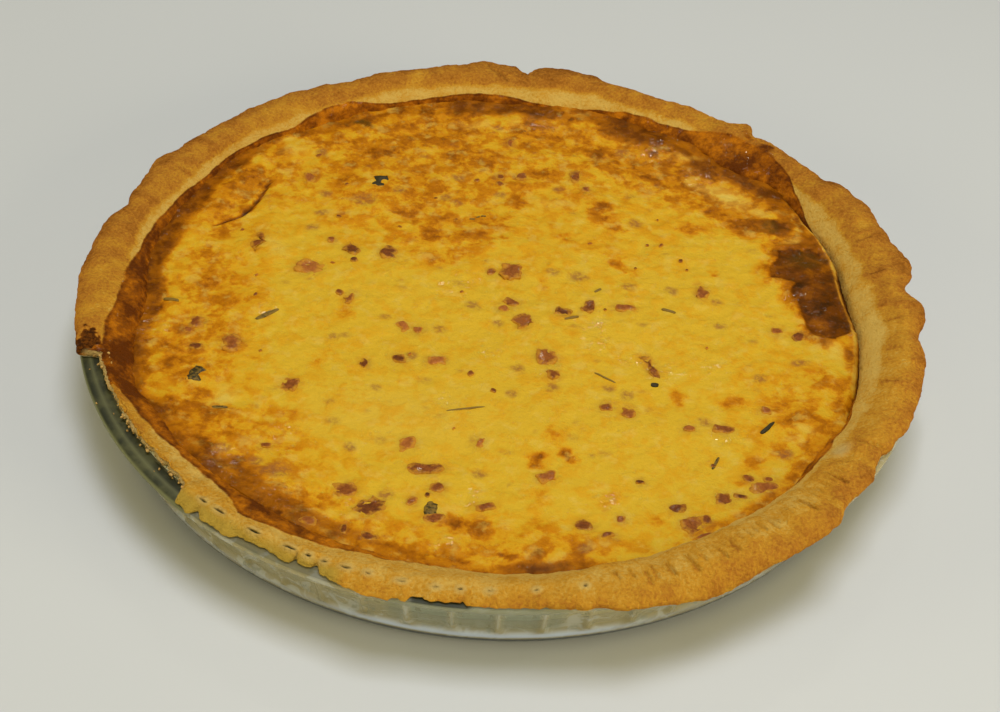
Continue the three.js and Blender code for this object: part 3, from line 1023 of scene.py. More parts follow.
@dataclass
class GlassDish:
    """The fluted flan dish with its flat rim."""

    base_radius: float = 127.5
    floor_height: float = 4.0
    floor_radius: float = 122.5
    inner_head: float = 132.0  # inside of the wall below the rim
    inner_foot: float = 126.0
    rim_inner: float = 133.4
    rim_line: float = 137.2  # a lighter line along the middle of the bare rim
    columns: int = 1152
    bare_from: float = BREAK_FROM - 1  # where the pastry's lip has broken off
    bare_to: float = BREAK_TO + 1
    front_from: float = 259.0  # where the glass wall shows at the front
    front_to: float = 279.0
    finish: GlassFinish = field(default_factory=GlassFinish)

    def section(self) -> Array:
        """Radius and height along the dish's skin, from the underside out, up and in."""
        corners = [
            (self.base_radius - 6, 0.0), (self.base_radius, 0.0), (129.6, 1.2), (130.8, 3.2),
            (131.3, 5.4), (132.3, 8.0), (136.2, 20.5), (136.9, 22.9), (137.4, 24.0), (138.6, 24.5),
            (RIM_RADIUS - 0.5, 24.6), (RIM_RADIUS, 25.1), (RIM_RADIUS, 26.3), (RIM_RADIUS - 0.4, 26.8),
            (RIM_RADIUS - 1.1, DISH_HEIGHT), (self.rim_inner + 0.6, DISH_HEIGHT),
            (self.rim_inner - 0.2, 26.5), (self.inner_head, 24.5), (self.inner_foot, 6.5), (125.0, 4.9),
            (self.floor_radius, self.floor_height), (self.floor_radius - 4, self.floor_height),
        ]
        steps = [2, 3, 3, 4, 4, 12, 4, 2, 2, 2, 2, 3, 2, 2, 5, 2, 3, 10, 3, 3, 2]
        rows = along_section([np.array([corner], float) for corner in corners], steps)
        return rounded(rows, 1, len(rows) - 2, 2)[:, 0]

    def build(self) -> Piece:
        """The dish, pressed and dressed.

        Returns:
            The piece.
        """
        section = self.section()
        azimuth = np.arange(self.columns) * FULL_TURN / self.columns
        rings = place(section[:, :1], azimuth, section[:, 1:])
        radius, height = section[:, :1], section[:, 1:]
        bare = span(azimuth, self.bare_from, self.bare_to, 3)[None]
        flat_rim = 0.75 * span(azimuth, 229, 259, 2) + span(azimuth, 262, 268, 1.5)
        flat_rim = smooth(height, 26.2, 26.8) * flat_rim
        # painted shade on the rim: full where the lip has broken off, faint elsewhere
        rim = smooth(radius, 132.5, 134) * smooth(height, 23.5, 24.5)
        rim = rim * np.maximum(0.12 + 0.88 * bare, flat_rim)
        middle = 0.6 * hump(radius, self.rim_line, 0.5)
        line = bare * np.maximum(middle, smooth(radius, 139.3, 139.9)) * smooth(height, 24.8, 25.4)
        outside = smooth(radius, 126.5, 128) * np.ones_like(azimuth)
        # painted highlight along the heel, strongest at the front
        bright = 0.3 + 0.7 * span(azimuth, 259, 281, 14)
        heel = outside * smooth(height, 4.2, 5.4) * fade(height, 6.2, 8.8) * bright
        # painted contact shadow along the bottom of the wall
        foot = outside * fade(height, 3.6, 4.8)
        front = span(azimuth, self.front_from, self.front_to, 2)
        side = front * smooth(radius, 136, 137.5) * smooth(height, 22.4, 23.6)
        marks = {"rim": rim, "line": line, "heel": heel, "foot": foot,
                 "front": np.broadcast_to(front, heel.shape), "side": side}
        piece = turned_piece("glass_flan_dish", rings, 0.0, self.floor_height, marks)
        FLUTES.press(self.finish.make()).grow(piece)
        return piece


# ---------------------------------------------------------------- pastry case

@dataclass
class Skin:
    """The case's skin by row and column, with what its relief and its marks need."""

    rings: Array
    zone: Array  # 0 hidden, 1 under the lip, 2 lip edge, 3 top, 4 inner wall, 5 below the custard
    azimuth: Array
    reach: Array  # 0 at the custard, 1 on top of the roll, more towards the lip

    @property
    def x(self) -> Array:
        """Places along x."""
        return self.rings[..., 0]

    @property
    def y(self) -> Array:
        """Places along y."""
        return self.rings[..., 1]

    @property
    def radius(self) -> Array:
        """Distance from the axis."""
        return np.hypot(self.x, self.y)

    def grain(self, size: float, seed: int, octaves: int = 1) -> Array:
        """Noise over the skin, from about -1 to 1."""
        return grain(self.rings, size, seed, octaves)

    def on(self, *zones: int) -> Array:
        """1 on some zones and 0 elsewhere."""
        return np.isin(self.zone, zones) * 1.0


@dataclass
class PastryCase:
    """The case of dough pressed into the dish by hand, with its lip folded over the rim."""

    lip_radius: float = 141.5
    crest_radius: float = 130.5
    crest_height: float = 31.6
    into_glass: float = 0.1  # the dough reaches just into the glass
    rim_inner: float = 133.4
    lip_thickness: float = 2.8
    lip_undercut: float = 1.3
    rounding_room: float = 0.6  # what rounding takes off the lip
    roll_outer: float = 0.62  # places of the roll's top between the crest's inner edge and the lip
    roll_inner: float = 0.25
    roll_fall: float = 1.3
    crest_shoulder: float = 0.6
    wall_flare: float = 3.2
    highest: float = 32.35
    columns: int = 1440
    edge_noise_radius: float = 60.0  # of the ring on which the noise along the lip is read
    finish: PastryFinish = field(default_factory=PastryFinish)

    # Stretches are rows of from, to, blend and reach, bumps rows of azimuth, half width and reach.
    lip_spans: tuple = (
        (200, 228, 1.6, -5.9), (286, 315, 4, 3.2), (336, 357, 3, 1), (32, 74, 3, -3.8),
    )
    lip_bumps: tuple = (
        (0, 3, 1.8), (4.3, 3.6, -3), (11, 7, 3.6), (17.5, 3, 1.4), (23.5, 7, 3), (29, 3, 1.6), (34, 4, 1),
        (47, 3, -1.4), (49.5, 3, 4.4), (66, 6, -1.6), (82, 6, 0.6), (88, 2.2, -4.6), (95, 5, 3.4),
        (101, 4, 1.2), (113, 5, -1.2), (118, 6, -2.2), (125, 4, -1.4), (134, 5, 0.8), (139, 3, -0.8),
        (154, 4, 2.4), (161, 4, -1), (166, 4, -3.2), (181, 8, 0.9), (328, 4, -2.6), (332, 3, -1),
        (354, 4, -2.2),
    )
    # The lip's edge along the front, where it runs out thin and torn over the rim: azimuth, radius.
    front_lip: tuple = (
        (229.4, 138.2), (230.6, 140.2), (231.9, 141.2), (232.8, 138.9), (234, 140.3), (235.6, 139.6),
        (237.6, 140.6), (238.5, 140.0), (239.0, 138.4), (240.5, 138.6), (243, 137.8), (244.6, 138.7),
        (246.3, 139.6), (247.2, 137.9), (248.8, 138.2), (249.8, 137.4), (250.6, 138.9), (252.8, 140.4),
        (254.8, 141.2), (256.6, 142.0), (258.4, 141.8), (261.2, 140.9), (261.6, 139.0), (262.9, 138.7),
        (263.3, 139.7), (264.4, 139.1), (267.6, 139.1), (268.2, 140.0), (273.4, 139.9), (277.2, 140.7),
        (282, 142.6), (285.4, 142.3),
    )
    crest_spans: tuple = ((208, 248, 6, 1.8), (286, 322, 6, -2.2), (32, 70, 6, -1))
    crest_bumps: tuple = ((150, 14, -1.2), (185, 10, -1.5), (10, 12, -1))
    height_spans: tuple = ((200, 228, 2, -1.6), (230, 276, 5, -1.1), (34, 60, 5, -1.4))
    height_bumps: tuple = (
        (88, 3, -1.3), (292, 2.4, -0.9), (300, 2.4, -1.1), (309, 3, -1.2), (317, 2.6, -1.3),
        (326, 3, -0.8), (345, 10, 0.7), (180, 14, 0.8),
    )
    droop_bumps: tuple = ((297, 11, 4.2), (309, 6, 1.2), (13, 5, 1.4))

    # Slits and pits along the front: azimuth, length, width, darkness of the painted shade in them.
    slits: tuple = (
        (232.4, 2.6, 0.7, 1.0), (235.2, 3.6, 0.8, 1.0), (240.7, 3.8, 0.8, 1.0), (245.8, 3.6, 0.7, 1.0),
        (248.4, 1.6, 0.9, 0.9), (250.5, 1.6, 0.8, 0.8), (253.3, 2.8, 0.8, 0.9), (256.1, 1.6, 0.8, 0.6),
        (260.1, 2.8, 0.7, 0.5), (264.3, 1.6, 0.7, 0.5), (267.2, 1.2, 0.8, 0.8), (270.7, 1.8, 0.7, 0.3),
        (276.1, 1.2, 0.8, 0.5), (281.9, 1.0, 0.9, 1.0),
    )
    slit_radius: float = 135.3
    cracks: tuple[Line, ...] = (
        Line(((-10.5, 141.0), (-9.0, 136.0), (-3.5, 131.5), (-2.0, 129.0)), 0.8, 1.0),
        Line(((4.5, 142.0), (5.5, 138.0), (5.0, 134.5)), 0.9, 0.9),
        Line(((-101.0, 99.0), (-94.0, 94.0), (-90.0, 91.0)), 0.6, 0.6),
        Line(((-109.0, 85.0), (-104.0, 83.0)), 0.6, 0.5),
        Line(((109.0, 72.0), (107.5, 68.0), (110.0, 61.0)), 0.6, 0.5),
    )
    # Creases across the roll: azimuth, inner and outer end, width, depth.
    creases: tuple = (
        (320.5, 130.6, 136.8, 1.1, 1.0), (313.7, 131.0, 137.6, 1.0, 1.0), (308.0, 130.6, 135.2, 0.8, 0.7),
        (306.3, 130.4, 134.2, 0.8, 0.7), (301.5, 132.8, 137.0, 0.8, 0.5), (299.7, 132.8, 136.6, 0.8, 0.5),
        (297.0, 133.2, 136.2, 0.7, 0.4), (295.4, 131.8, 138.4, 0.8, 0.6), (292.6, 131.6, 136.6, 0.8, 0.6),
        (290.5, 131.6, 136.6, 0.7, 0.5), (289.4, 133.6, 138.9, 0.7, 0.4), (287.6, 132.0, 135.4, 0.7, 0.4),
        (285.8, 131.8, 135.0, 0.7, 0.4), (329.0, 129.0, 140.0, 1.2, 0.8), (16.0, 129.0, 135.0, 1.0, 0.4),
        (357.0, 128.4, 134.5, 1.0, 0.5), (350.0, 128.6, 133.0, 0.8, 0.4), (8.0, 128.0, 133.5, 0.9, 0.4),
        (154.5, 126.0, 132.0, 0.8, 0.4), (342.5, 129.0, 134.0, 0.9, 0.4),
    )
    blister: Patch = Patch(106.6, -70.6, 8.5, 5.0, turn=48)

    # How brown the roll is, by azimuth.
    toast: tuple = (
        (0, 0.46), (30, 0.53), (60, 0.54), (85, 0.6), (110, 0.53), (140, 0.5), (160, 0.56), (180, 0.5),
        (190, 0.42), (198, 0.5), (207, 0.5), (214, 0.36), (225, 0.28), (245, 0.3), (262, 0.27),
        (280, 0.26), (300, 0.31), (320, 0.38), (335, 0.38), (350, 0.48),
    )

    def fine_azimuths(self) -> Array:
        """Azimuths of the mesh, closer together along the slit, creased and broken front."""
        even = np.linspace(0, FULL_TURN, 7201)
        density = 1 + 0.9 * span(even, 194, 324, 6)
        reached = np.concatenate([[0], np.cumsum((density[1:] + density[:-1]) / 2)])
        wanted = np.arange(self.columns) / self.columns * reached[-1]
        return np.interp(wanted, reached, even)

    def along_edge(self, azimuth: Array, level: float, size: float, seed: int, layers: int = 1) -> Array:
        """Noise along the lip's edge, read on a ring at some level."""
        ones = np.ones_like(azimuth)
        return grain(place(self.edge_noise_radius * ones, azimuth, level * ones), size, seed, layers)

    def torn(self, azimuth: Array) -> Array:
        """1 where the lip has broken off."""
        return span(azimuth, BREAK_FROM, BREAK_TO, 1)

    def lip(self, azimuth: Array) -> Array:
        """Radius of the lip's edge, with its torn and scalloped stretches."""
        ragged = self.along_edge(azimuth, 0, 0.8, 11, 3)
        nick = np.maximum(self.along_edge(azimuth, 5, 0.6, 13), 0)
        nick = nick * np.clip(2.4 * self.along_edge(azimuth, 7, 3.0, 14), 0, 1.6)
        lip = by_hand(azimuth, self.lip_radius, self.lip_spans, self.lip_bumps, 0.5, 1)
        front = span(azimuth, 231, 282, 1.8)
        lip = lip + (around(self.front_lip, azimuth) - lip) * front
        lip = lip - (0.4 + 0.2 * front) * (1 + ragged) + 0.4 * front - 0.9 * nick * self.thinness(azimuth)
        return lip - 0.8 * self.torn(azimuth) * (0.8 + ragged)

    def thinness(self, azimuth: Array) -> Array:
        """1 along the front where the lip runs out thin and ragged over the rim."""
        return span(azimuth, 230.5, 274, 4)

    def section(self, azimuth: Array) -> tuple[Array, Array]:
        """The pastry's skin from its underside out, up and in.

        Args:
            azimuth: of each column.

        Returns:
            Radius and height by row and column, and for each row its zone.
        """
        ones = np.ones_like(azimuth)
        torn = self.torn(azimuth)
        thin = self.thinness(azimuth)
        room = self.rounding_room * (1 - torn)
        lip = self.lip(azimuth) + room
        crest = by_hand(azimuth, self.crest_radius, self.crest_spans, self.crest_bumps, 0.4, 2)
        top = by_hand(azimuth, self.crest_height, self.height_spans, self.height_bumps, 0.3, 3)
        droop = sum_of_bumps(azimuth, self.droop_bumps)
        edge = wall_radius(azimuth, WALL_EDGE_HEIGHT)
        outside = self.into_glass
        over_rim = DISH_HEIGHT - 0.05
        lip_foot = DISH_HEIGHT + 0.3
        foot = wall_radius(azimuth, WALL_FOOT_HEIGHT)
        halfway = WALL_EDGE_HEIGHT + 0.45 * (top - WALL_EDGE_HEIGHT)
        corners = [
            (110 * ones, 4.0 * ones - 0.05), (122.5 * ones, 3.95 * ones), (126.0 + outside, 6.5),
            (132.0 + outside, 24.5), (self.rim_inner + outside, over_rim),
            (np.minimum(lip - 1.5 * self.lip_undercut, RIM_RADIUS + 0.6), over_rim),
            (lip - self.lip_undercut, over_rim + 0.3 - droop),
            (lip, lip_foot + self.lip_thickness / 2 - droop - 1.2 * thin),
            (lip - self.lip_undercut, lip_foot + self.lip_thickness + room - 0.7 * droop - 2.4 * thin),
            (crest + self.roll_outer * (lip - crest), top - 0.1 - 1.0 * thin),
            (crest + self.roll_inner * (lip - crest), top - 0.2 * thin),
            (crest - self.crest_shoulder, top - self.roll_fall),
            (edge + self.wall_flare, halfway), (edge, WALL_EDGE_HEIGHT), (foot, WALL_FOOT_HEIGHT),
            (100 * ones, WALL_FOOT_HEIGHT),
        ]
        steps = [1, 1, 6, 1, 2, 3, 3, 3, 8, 11, 7, 9, 6, 4, 1]
        zones = [0, 0, 0, 0, 1, 1, 2, 2, 3, 3, 3, 4, 4, 5, 5]
        corners = [np.stack([radius * ones, height * ones], -1) for radius, height in corners]
        rows = along_section(corners, steps)
        zone = np.array([0] + [zones[i] for i, count in enumerate(steps) for _ in range(count)])
        first = int(np.argmax(zone == 1))
        last = int(np.argmax(zone == 5))
        crisp = rounded(rows, first, last, 2)
        soft = rounded(crisp, first, last, 9)
        return soft + (crisp - soft) * torn[:, None], zone

    def reach(self, rows: Array) -> Array:
        """How far up each place lies: 0 at the custard, 1 on top of the roll, more towards the lip."""
        height = rows[..., 1]
        top = np.argmax(height, axis=0)
        share = (height - CUSTARD_LEVEL) / (height.max(0) - CUSTARD_LEVEL)
        top_radius = np.take_along_axis(rows[..., 0], top[None], 0)
        outer = np.arange(len(rows))[:, None] < top[None]
        return np.where(outer, 1 + (rows[..., 0] - top_radius) / 8, share)

    def build(self) -> Piece:
        """The case with its relief and its marks.

        Returns:
            The piece.
        """
        azimuth = self.fine_azimuths()
        rows, zone = self.section(azimuth)
        against_glass = (zone == 0)[:, None] & (rows[..., 1] > 4.5)
        reach = self.reach(rows)
        rows[..., 0] -= np.where(against_glass, FLUTES.inset(azimuth, rows[..., 1]), 0)
        rings = place(rows[..., 0], azimuth, rows[..., 1])
        shape = rings.shape[:2]
        skin = Skin(rings, np.broadcast_to(zone[:, None], shape), np.broadcast_to(azimuth, shape), reach)
        slit, border = self.cuts(skin)
        height = self.relief(skin, slit, border)
        marks = self.marks(skin, slit, border)
        rings = rings + outward(rings) * height[..., None]
        rings[..., 2] = np.minimum(rings[..., 2], self.highest)
        piece = turned_piece("pastry_crust", rings, 3.95, WALL_FOOT_HEIGHT, marks)
        piece.data.materials.append(self.finish.make())
        return piece

    def cuts(self, skin: Skin) -> tuple[Array, Array]:
        """How much a slit cuts each place, and how near a slit is.

        Args:
            skin: of the case.

        Returns:
            The slits and their borders, from 0 to 1.
        """
        slit, border = np.zeros(skin.x.shape), np.zeros(skin.x.shape)
        top = skin.on(2, 3)
        for at, length, width, dark in self.slits:
            angle = math.radians(at)
            middle = (self.slit_radius * math.cos(angle), self.slit_radius * math.sin(angle))
            hole = Patch(*middle, 1.15 * length, 0.72 * width, turn=at + 92)
            ring = Patch(*middle, length + 2.6, width + 2.2, turn=at + 92)
            slit = np.maximum(slit, hole.cover(skin.x, skin.y, 0.8) * top * dark)
            border = np.maximum(border, ring.cover(skin.x, skin.y, 0.7) * top)
        return slit, border

    def across(self, skin: Skin) -> Array:
        """Places drawn together along the rim, so that noise on them runs across the roll."""
        return place(0.22 * skin.radius, skin.azimuth * 2.2, 0.4 * skin.rings[..., 2])

    def furrows(self, skin: Skin) -> Array:
        """Fine furrows across the roll, from about -1 to 1."""
        return grain(self.across(skin), 2.0, 4, 2)

    def relief(self, skin: Skin, slit: Array, border: Array) -> Array:
        """Height of the fine relief: grain, furrows, creases, cracks and slits.

        Args:
            skin: of the case.
            slit: how much a slit cuts the crust.
            border: how near a slit is.

        Returns:
            The height of each place over the plain skin.
        """
        x, y, azimuth, radius = skin.x, skin.y, skin.azimuth, skin.radius
        top = skin.on(3) + 0.6 * skin.on(2)
        height = 0.32 * skin.grain(9, 1, 2) + 0.2 * skin.grain(2.6, 2, 2)
        height += 0.1 * skin.grain(1.1, 3)
        across = self.across(skin)
        furrowed = 0.6 + 0.4 * span(azimuth, 262, 385, 12)
        height += 0.34 * self.furrows(skin) * furrowed * np.maximum(top, 0.7 * skin.on(4))
        pleat = np.abs((azimuth / 1.15 + 0.4 * grain(across, 5, 5)) % 1 - 0.5) * 2
        pleated = span(azimuth, 284, 322, 4) * smooth(radius, 129.4, 130.6)
        pleated = pleated * fade(radius, 132.6, 135.4)
        height -= 0.8 * fade(pleat, 0, 0.5) * pleated * (0.6 + 0.6 * grain(across, 7, 6))
        for at, inner, outer, width, depth in self.creases:
            ends = place(np.array([inner, outer]), np.array([at, at + 0.4]), np.zeros(2))
            ends = (tuple(ends[0, :2]), tuple(ends[1, :2]))
            fold = 0.5 * Line(ends, 2.4 * width, 0).cover(x, y) - 2.0 * Line(ends, width, 0).cover(x, y)
            height += depth * fold * np.maximum(top, skin.on(4))
        for crack in self.cracks:
            height -= crack.depth * crack.cover(x, y) * top
        height += 1.2 * self.blister.cover(x, y, 0.9) * skin.on(3, 4)
        height += 0.2 * border - 1.1 * slit
        height += 0.2 * skin.grain(1.3, 7, 2) * self.torn(azimuth) * top
        height = np.minimum(height, 0.5) * np.array([0, 0.3, 0.8, 1, 1, 0.4])[skin.zone]
        return np.where(skin.zone == 2, np.minimum(height, 0), height)

    def marks(self, skin: Skin, slit: Array, border: Array) -> dict[str, Array]:
        """Where the crust is baked, filmed over, torn, raw or cut, with painted shade in its slits, creases
        and crevice and a painted reflection over its raw dough.

        Args:
            skin: of the case.
            slit: how much a slit cuts the crust.
            border: how near a slit is.

        Returns:
            The marks by name.
        """
        azimuth, reach = skin.azimuth, skin.reach
        toast = around(self.toast, azimuth) + 0.07 * skin.grain(22, 21, 2)
        inner_toast = 0.08 + (toast - 0.14) * smooth(reach + 0.1 * skin.grain(6, 27, 2), 0.52, 0.76)
        outer_toast = toast + 0.1 * smooth(reach, 1.2, 1.9) - 0.06 * fade(reach, 1, 1.3)
        blister = self.blister.cover(skin.x, skin.y)
        bake = np.where(reach < 1, inner_toast, outer_toast)
        bake = bake + 0.07 * self.furrows(skin) - 0.2 * border - 0.25 * blister
        bake = bake - 0.05 * span(azimuth, 229, 256, 4)
        paler = span(azimuth, 305, 315, 4) + span(azimuth, 346, 356, 4)
        bake = bake - 0.1 * paler * fade(reach, 0.9, 1.4)
        # painted shade: the crust is darkened along the creases
        painted_crease_shade = np.zeros(reach.shape)
        for at, inner, outer, *_ in self.creases:
            near = fade(np.abs(turn_between(at, azimuth)), 0, 0.45)
            painted_crease_shade = np.maximum(painted_crease_shade, near * (skin.radius > inner) * (skin.radius < outer))
        bake = bake + 0.16 * painted_crease_shade
        burn = 1.2 * skin.grain(4, 25, 2)
        askew = 2.2 * skin.grain(2.6, 26, 4) - 0.15 * np.abs(skin.radius - 137.5) ** 1.5
        tab = span(azimuth + askew, 196.0, 199.4, 0.8) * smooth(skin.radius + burn, 130.5, 133)
        bake = np.where(reach > 0.6, np.maximum(bake, 0.95 * tab), bake)
        wander = 0.07 * skin.grain(8, 22, 3)
        limit = around(FILM, azimuth)
        film = np.clip(0.5 - (reach + wander - limit) * 1.2, 0, 1)
        depth = around(FILM, azimuth, 2) + 0.02 - 0.3 * smooth(reach / np.maximum(limit, 0.1), 0.45, 1)
        film = film * np.where(skin.zone >= 3, 1, 0)
        torn = span(azimuth, BREAK_FROM - 0.6, BREAK_TO, 0.5)
        broken = skin.on(1, 3) * smooth(reach, 1.15, 1.3) * (0.5 + skin.grain(1.6, 23))
        crumb = 0.5 * border * (1 - slit) + 0.7 * blister + torn * np.maximum(skin.on(2), broken)
        thin = span(azimuth, 229.5, 252, 2) * smooth(skin.radius, 134, 138) * skin.on(2, 3)
        # painted shade down the crevice beside the shrunk custard
        crevice = 0.08 * span(azimuth, 342, 388, 5) + 0.1 * span(azimuth, 355, 376, 4)
        crevice = crevice * fade(reach + 0.5 * wander, 0.02, 0.1) * skin.on(4, 5)
        # painted reflection in the glass over the dough, strongest at the front
        glass_reflection = 0.35 + 0.65 * span(azimuth, 260.6, 277.5, 0.6) + 0.3 * skin.grain(11, 24, 2)
        return {
            "bake": np.clip(bake, 0, 1), "film": film, "depth": np.clip(depth, 0, 1),
            "crumb": np.clip(crumb, 0, 1), "thin": thin, "raw": skin.on(0, 1), "glass_reflection": np.clip(glass_reflection, 0, 1),
            "slit": np.clip(slit * 1.25 + crevice, 0, 1),
        }


# ---------------------------------------------------------------- custard

@dataclass
class Custard:
    """The set custard with its browned skin."""

    cells: int = 300  # across the skin
    puff_height: float = 0.9
    puff_from_edge: float = 9.0
    puff_width: float = 8.0
    sunk_middle: float = 0.4
    puffed_floor: float = 21.0  # where the crevice beside the shrunk edge begins to close
    crevice_floor: float = 18.6
    under_wall: float = 0.5  # the skin reaches into the pastry
    climb_out: float = 2.8  # how far the skin runs into the sloping wall
    edge_width: float = 9.0  # over which the skin levels out towards the wall
    skin_edge: float = 0.6  # thin raised skin where the custard has shrunk from the wall
    warp: float = 4.2  # how far patch edges wander
    finish: CustardFinish = field(default_factory=CustardFinish)

    # Swollen and sunk places of the skin: x, y, size, height.
    swells: tuple = (
        (108, 14, 24, 1.3), (-84, 22, 15, 0.9), (-86, -54, 12, -0.8), (60, 101, 16, 0.8),
        (12, -113, 16, 0.8), (97, -56, 12, 0.9), (-66, -100, 16, 1), (80, 70, 18, -0.7),
        (47, -23, 16, -0.6), (-52, 60, 26, 0.8), (-4, 34, 18, 0.6), (34, 56, 20, 0.6), (17, -64, 20, 0.5),
        (-20, -20, 40, -0.7), (60, -40, 26, -0.5),
    )
    shrunk: tuple = ((10, 22, 0.75), (347, 8, 0.25))
    faint_count: int = 90  # small scraps of ham that only just show through
    faint_seed: int = 21
    # Height of the skin's edge on the wall: azimuth, height.
    edge_level: tuple = (
        (40, 24.75), (205, 24.75), (222, 25.3), (232, 25.9), (250, 25.9), (258, 25.5), (266, 24.75),
        (270, 24.75), (288, 25.1), (308, 25.7), (328, 25.5), (340, 24.7),
    )

    # Browned along the edge: azimuth, width, strength.
    band: tuple = (
        (0, 5, 0.5), (12, 5, 0.6), (22, 6, 0.55), (27, 9, 0.62), (32, 13, 0.68), (38, 14, 0.74),
        (44, 15, 0.78), (50, 14, 0.78), (56, 15, 0.7), (62, 19, 0.84), (70, 18, 0.82), (76, 12, 0.62),
        (80, 13, 0.6), (85, 20, 0.86), (89, 12, 0.7), (92, 16, 0.8), (100, 16, 0.78), (104, 16, 0.6),
        (112, 16, 0.56), (120, 13, 0.62), (130, 10, 0.6), (134, 4, 0.3), (138, 11, 0.68), (143, 10, 0.74),
        (150, 10, 0.78), (160, 10, 0.76), (168, 11, 0.8), (176, 10, 0.8), (184, 9, 0.76), (190, 8, 0.72),
        (200, 8, 0.68), (210, 9, 0.62), (220, 11, 0.64), (228, 14, 0.68), (237, 15, 0.74),
        (243, 13, 0.68), (250, 11, 0.62), (258, 9, 0.57), (263, 8, 0.57), (270, 7, 0.57), (275, 9, 0.78),
        (280, 8, 0.7), (284, 6, 0.6), (288, 3, 0.2), (296, 4, 0.35), (302, 4, 0.3), (312, 5, 0.4),
        (320, 7, 0.45), (328, 8, 0.5), (336, 7, 0.45), (344, 6, 0.4), (352, 6, 0.5),
    )
    zones: tuple[Patch, ...] = patches(
        (-45, 66, 110, 80, 0.34), (-98, -20, 46, 120, 0.32), (20, 84, 130, 56, 0.26),
        (96, -48, 40, 66, 0.28), (0, -112, 140, 26, 0.3), (-72, -78, 60, 46, 0.28, -40),
        (72, 66, 50, 40, 0.22, -30), (30, 40, 80, 60, 0.14), (-20, 36, 60, 40, 0.16),
        (52, 82, 46, 30, 0.45, -30), (86, 58, 32, 26, 0.5, -45), (106, 42, 26, 20, 0.65),
        (12, 103, 90, 20, 0.3), (-103, 41, 18, 26, 0.5), (-103, -42, 14, 16, 0.3), (-20, 22, 26, 18, 0.2),
        (-80, 62, 20, 20, 0.25),
    )
    rust: tuple[Patch, ...] = patches(
        (-50, 85, 27, 15, 0.5), (-70, 88, 14, 10, 0.5, 30), (-60, 92, 16, 8, 0.45),
        (-85, 75, 14, 12, 0.45, 45), (-35, 100, 50, 25, 0.4, -8), (-20, 85, 14, 12, 0.35),
        (-5, 85, 12, 12, 0.3), (-60, 70, 8, 20, 0.4), (-35, 70, 12, 14, 0.35), (-37, 46, 14, 9, 0.5),
        (-22, 45, 12, 10, 0.45), (-5, 45, 13, 9, 0.45), (-8, 33, 14, 7, 0.7, 5), (-25, 35, 14, 12, 0.35),
        (-20, 20, 12, 12, 0.2), (-105, 15, 12, 16, 0.35), (-105, 0, 12, 14, 0.4), (-95, 3, 8, 6, 0.3),
        (-105, -28, 10, 14, 0.4), (-108, -35, 8, 10, 0.4), (-105, -45, 10, 10, 0.4),
        (-95, -55, 15, 10, 0.4, -30), (-90, -65, 19, 18, 0.4, -40), (-70, -60, 8, 7, 0.3),
        (-62, -62, 9, 8, 0.3), (-56, -36, 6, 10, 0.35), (-52, -12, 10, 6, 0.25),
        (-48, -100, 14, 10, 0.4, -20), (-55, -98, 10, 10, 0.4), (-30, -118, 12, 8, 0.5),
        (-8, -105, 10, 8, 0.45), (-30, -42, 5, 5, 0.25), (35, 55, 13, 14, 0.6), (38, 46, 14, 6, 0.45),
        (34, 88, 5, 15, 0.6), (25, 104, 18, 16, 0.35), (42, 24, 9, 12, 0.5), (73, 20, 3, 3, 0.5),
        (5, 60, 10, 14, 0.3), (10, 78, 10, 10, 0.25), (20, 37, 8, 6, 0.25), (13, 7, 6, 6, 0.25),
        (75, 57, 11, 8, 0.55), (67, 70, 8, 8, 0.55), (67, 46, 8, 7, 0.45), (83, 50, 8, 7, 0.45),
        (72, 83, 18, 10, 0.6, -30), (15, -75, 8, 6, 0.7), (25, -74, 5, 8, 0.6), (20, -65, 10, 12, 0.4),
        (58, -43, 7, 10, 0.45), (76, -45, 6, 8, 0.5), (97, -52, 14, 16, 0.45), (105, -33, 12, 12, 0.35),
        (102, -66, 8, 8, 0.4), (88, -68, 7, 7, 0.4), (80, -72, 7, 7, 0.4), (75, -82, 8, 6, 0.35),
        (108, -15, 5, 8, 0.6), (25, -15, 5, 5, 0.2), (35, -92, 9, 5, 0.3), (15, -93, 8, 6, 0.25),
        (50, -100, 8, 8, 0.3), (73, -98, 10, 6, 0.3), (27, -114, 12, 6, 0.35),
    )
    dark: tuple[Patch, ...] = patches(
        (94, 50, 24, 11, 0.78, -15), (101, 52, 8, 8, 0.7), (93, 40, 5, 5, 0.5), (10, 109, 17, 11, 0.62),
        (45, 105, 26, 14, 0.75, -20), (56, 95, 13, 6, 0.6), (-57, 102, 8, 5, 0.9),
        (-67, -103, 17, 10, 0.8, -40), (-64, -107, 6, 4, 1, -40), (-81, -91, 8, 6, 0.6, -40),
        (8, -117, 11, 4, 0.75), (16, -118, 8, 4, 0.65), (0, -107, 13, 7, 0.45), (114, -42, 4, 9, 0.6),
    )
    torn: Region = Region((
        (97, 37), (113, 37), (116, 30), (119, 15), (121, -5), (112, -13), (105, -10), (100, 5), (99, 12),
        (101, 17), (96, 19), (92, 20), (94, 27), (97, 32),
    ))
    pale: tuple[Patch, ...] = patches(
        (79, 68, 20, 10, 0.95, -35), (92, 58, 12, 5, 0.5, -20), (102, 42, 7, 4, 0.6),
        (67, 92, 10, 6, 0.5), (-80, 22, 8, 12, 0.7), (-80, 80, 10, 7, 0.5, 30), (-84, 87, 8, 5, 0.5, 30),
        (-15, 104, 15, 5, 0.5), (0, 110, 4, 8, 0.5), (17, 57, 12, 8, 0.4), (-86, -56, 7, 10, 0.7),
        (-96, -52, 5, 3, 0.5), (112, -20, 10, 10, 0.7), (97, -57, 6, 4, 0.5), (-30, -60, 60, 30, 0.25),
    )
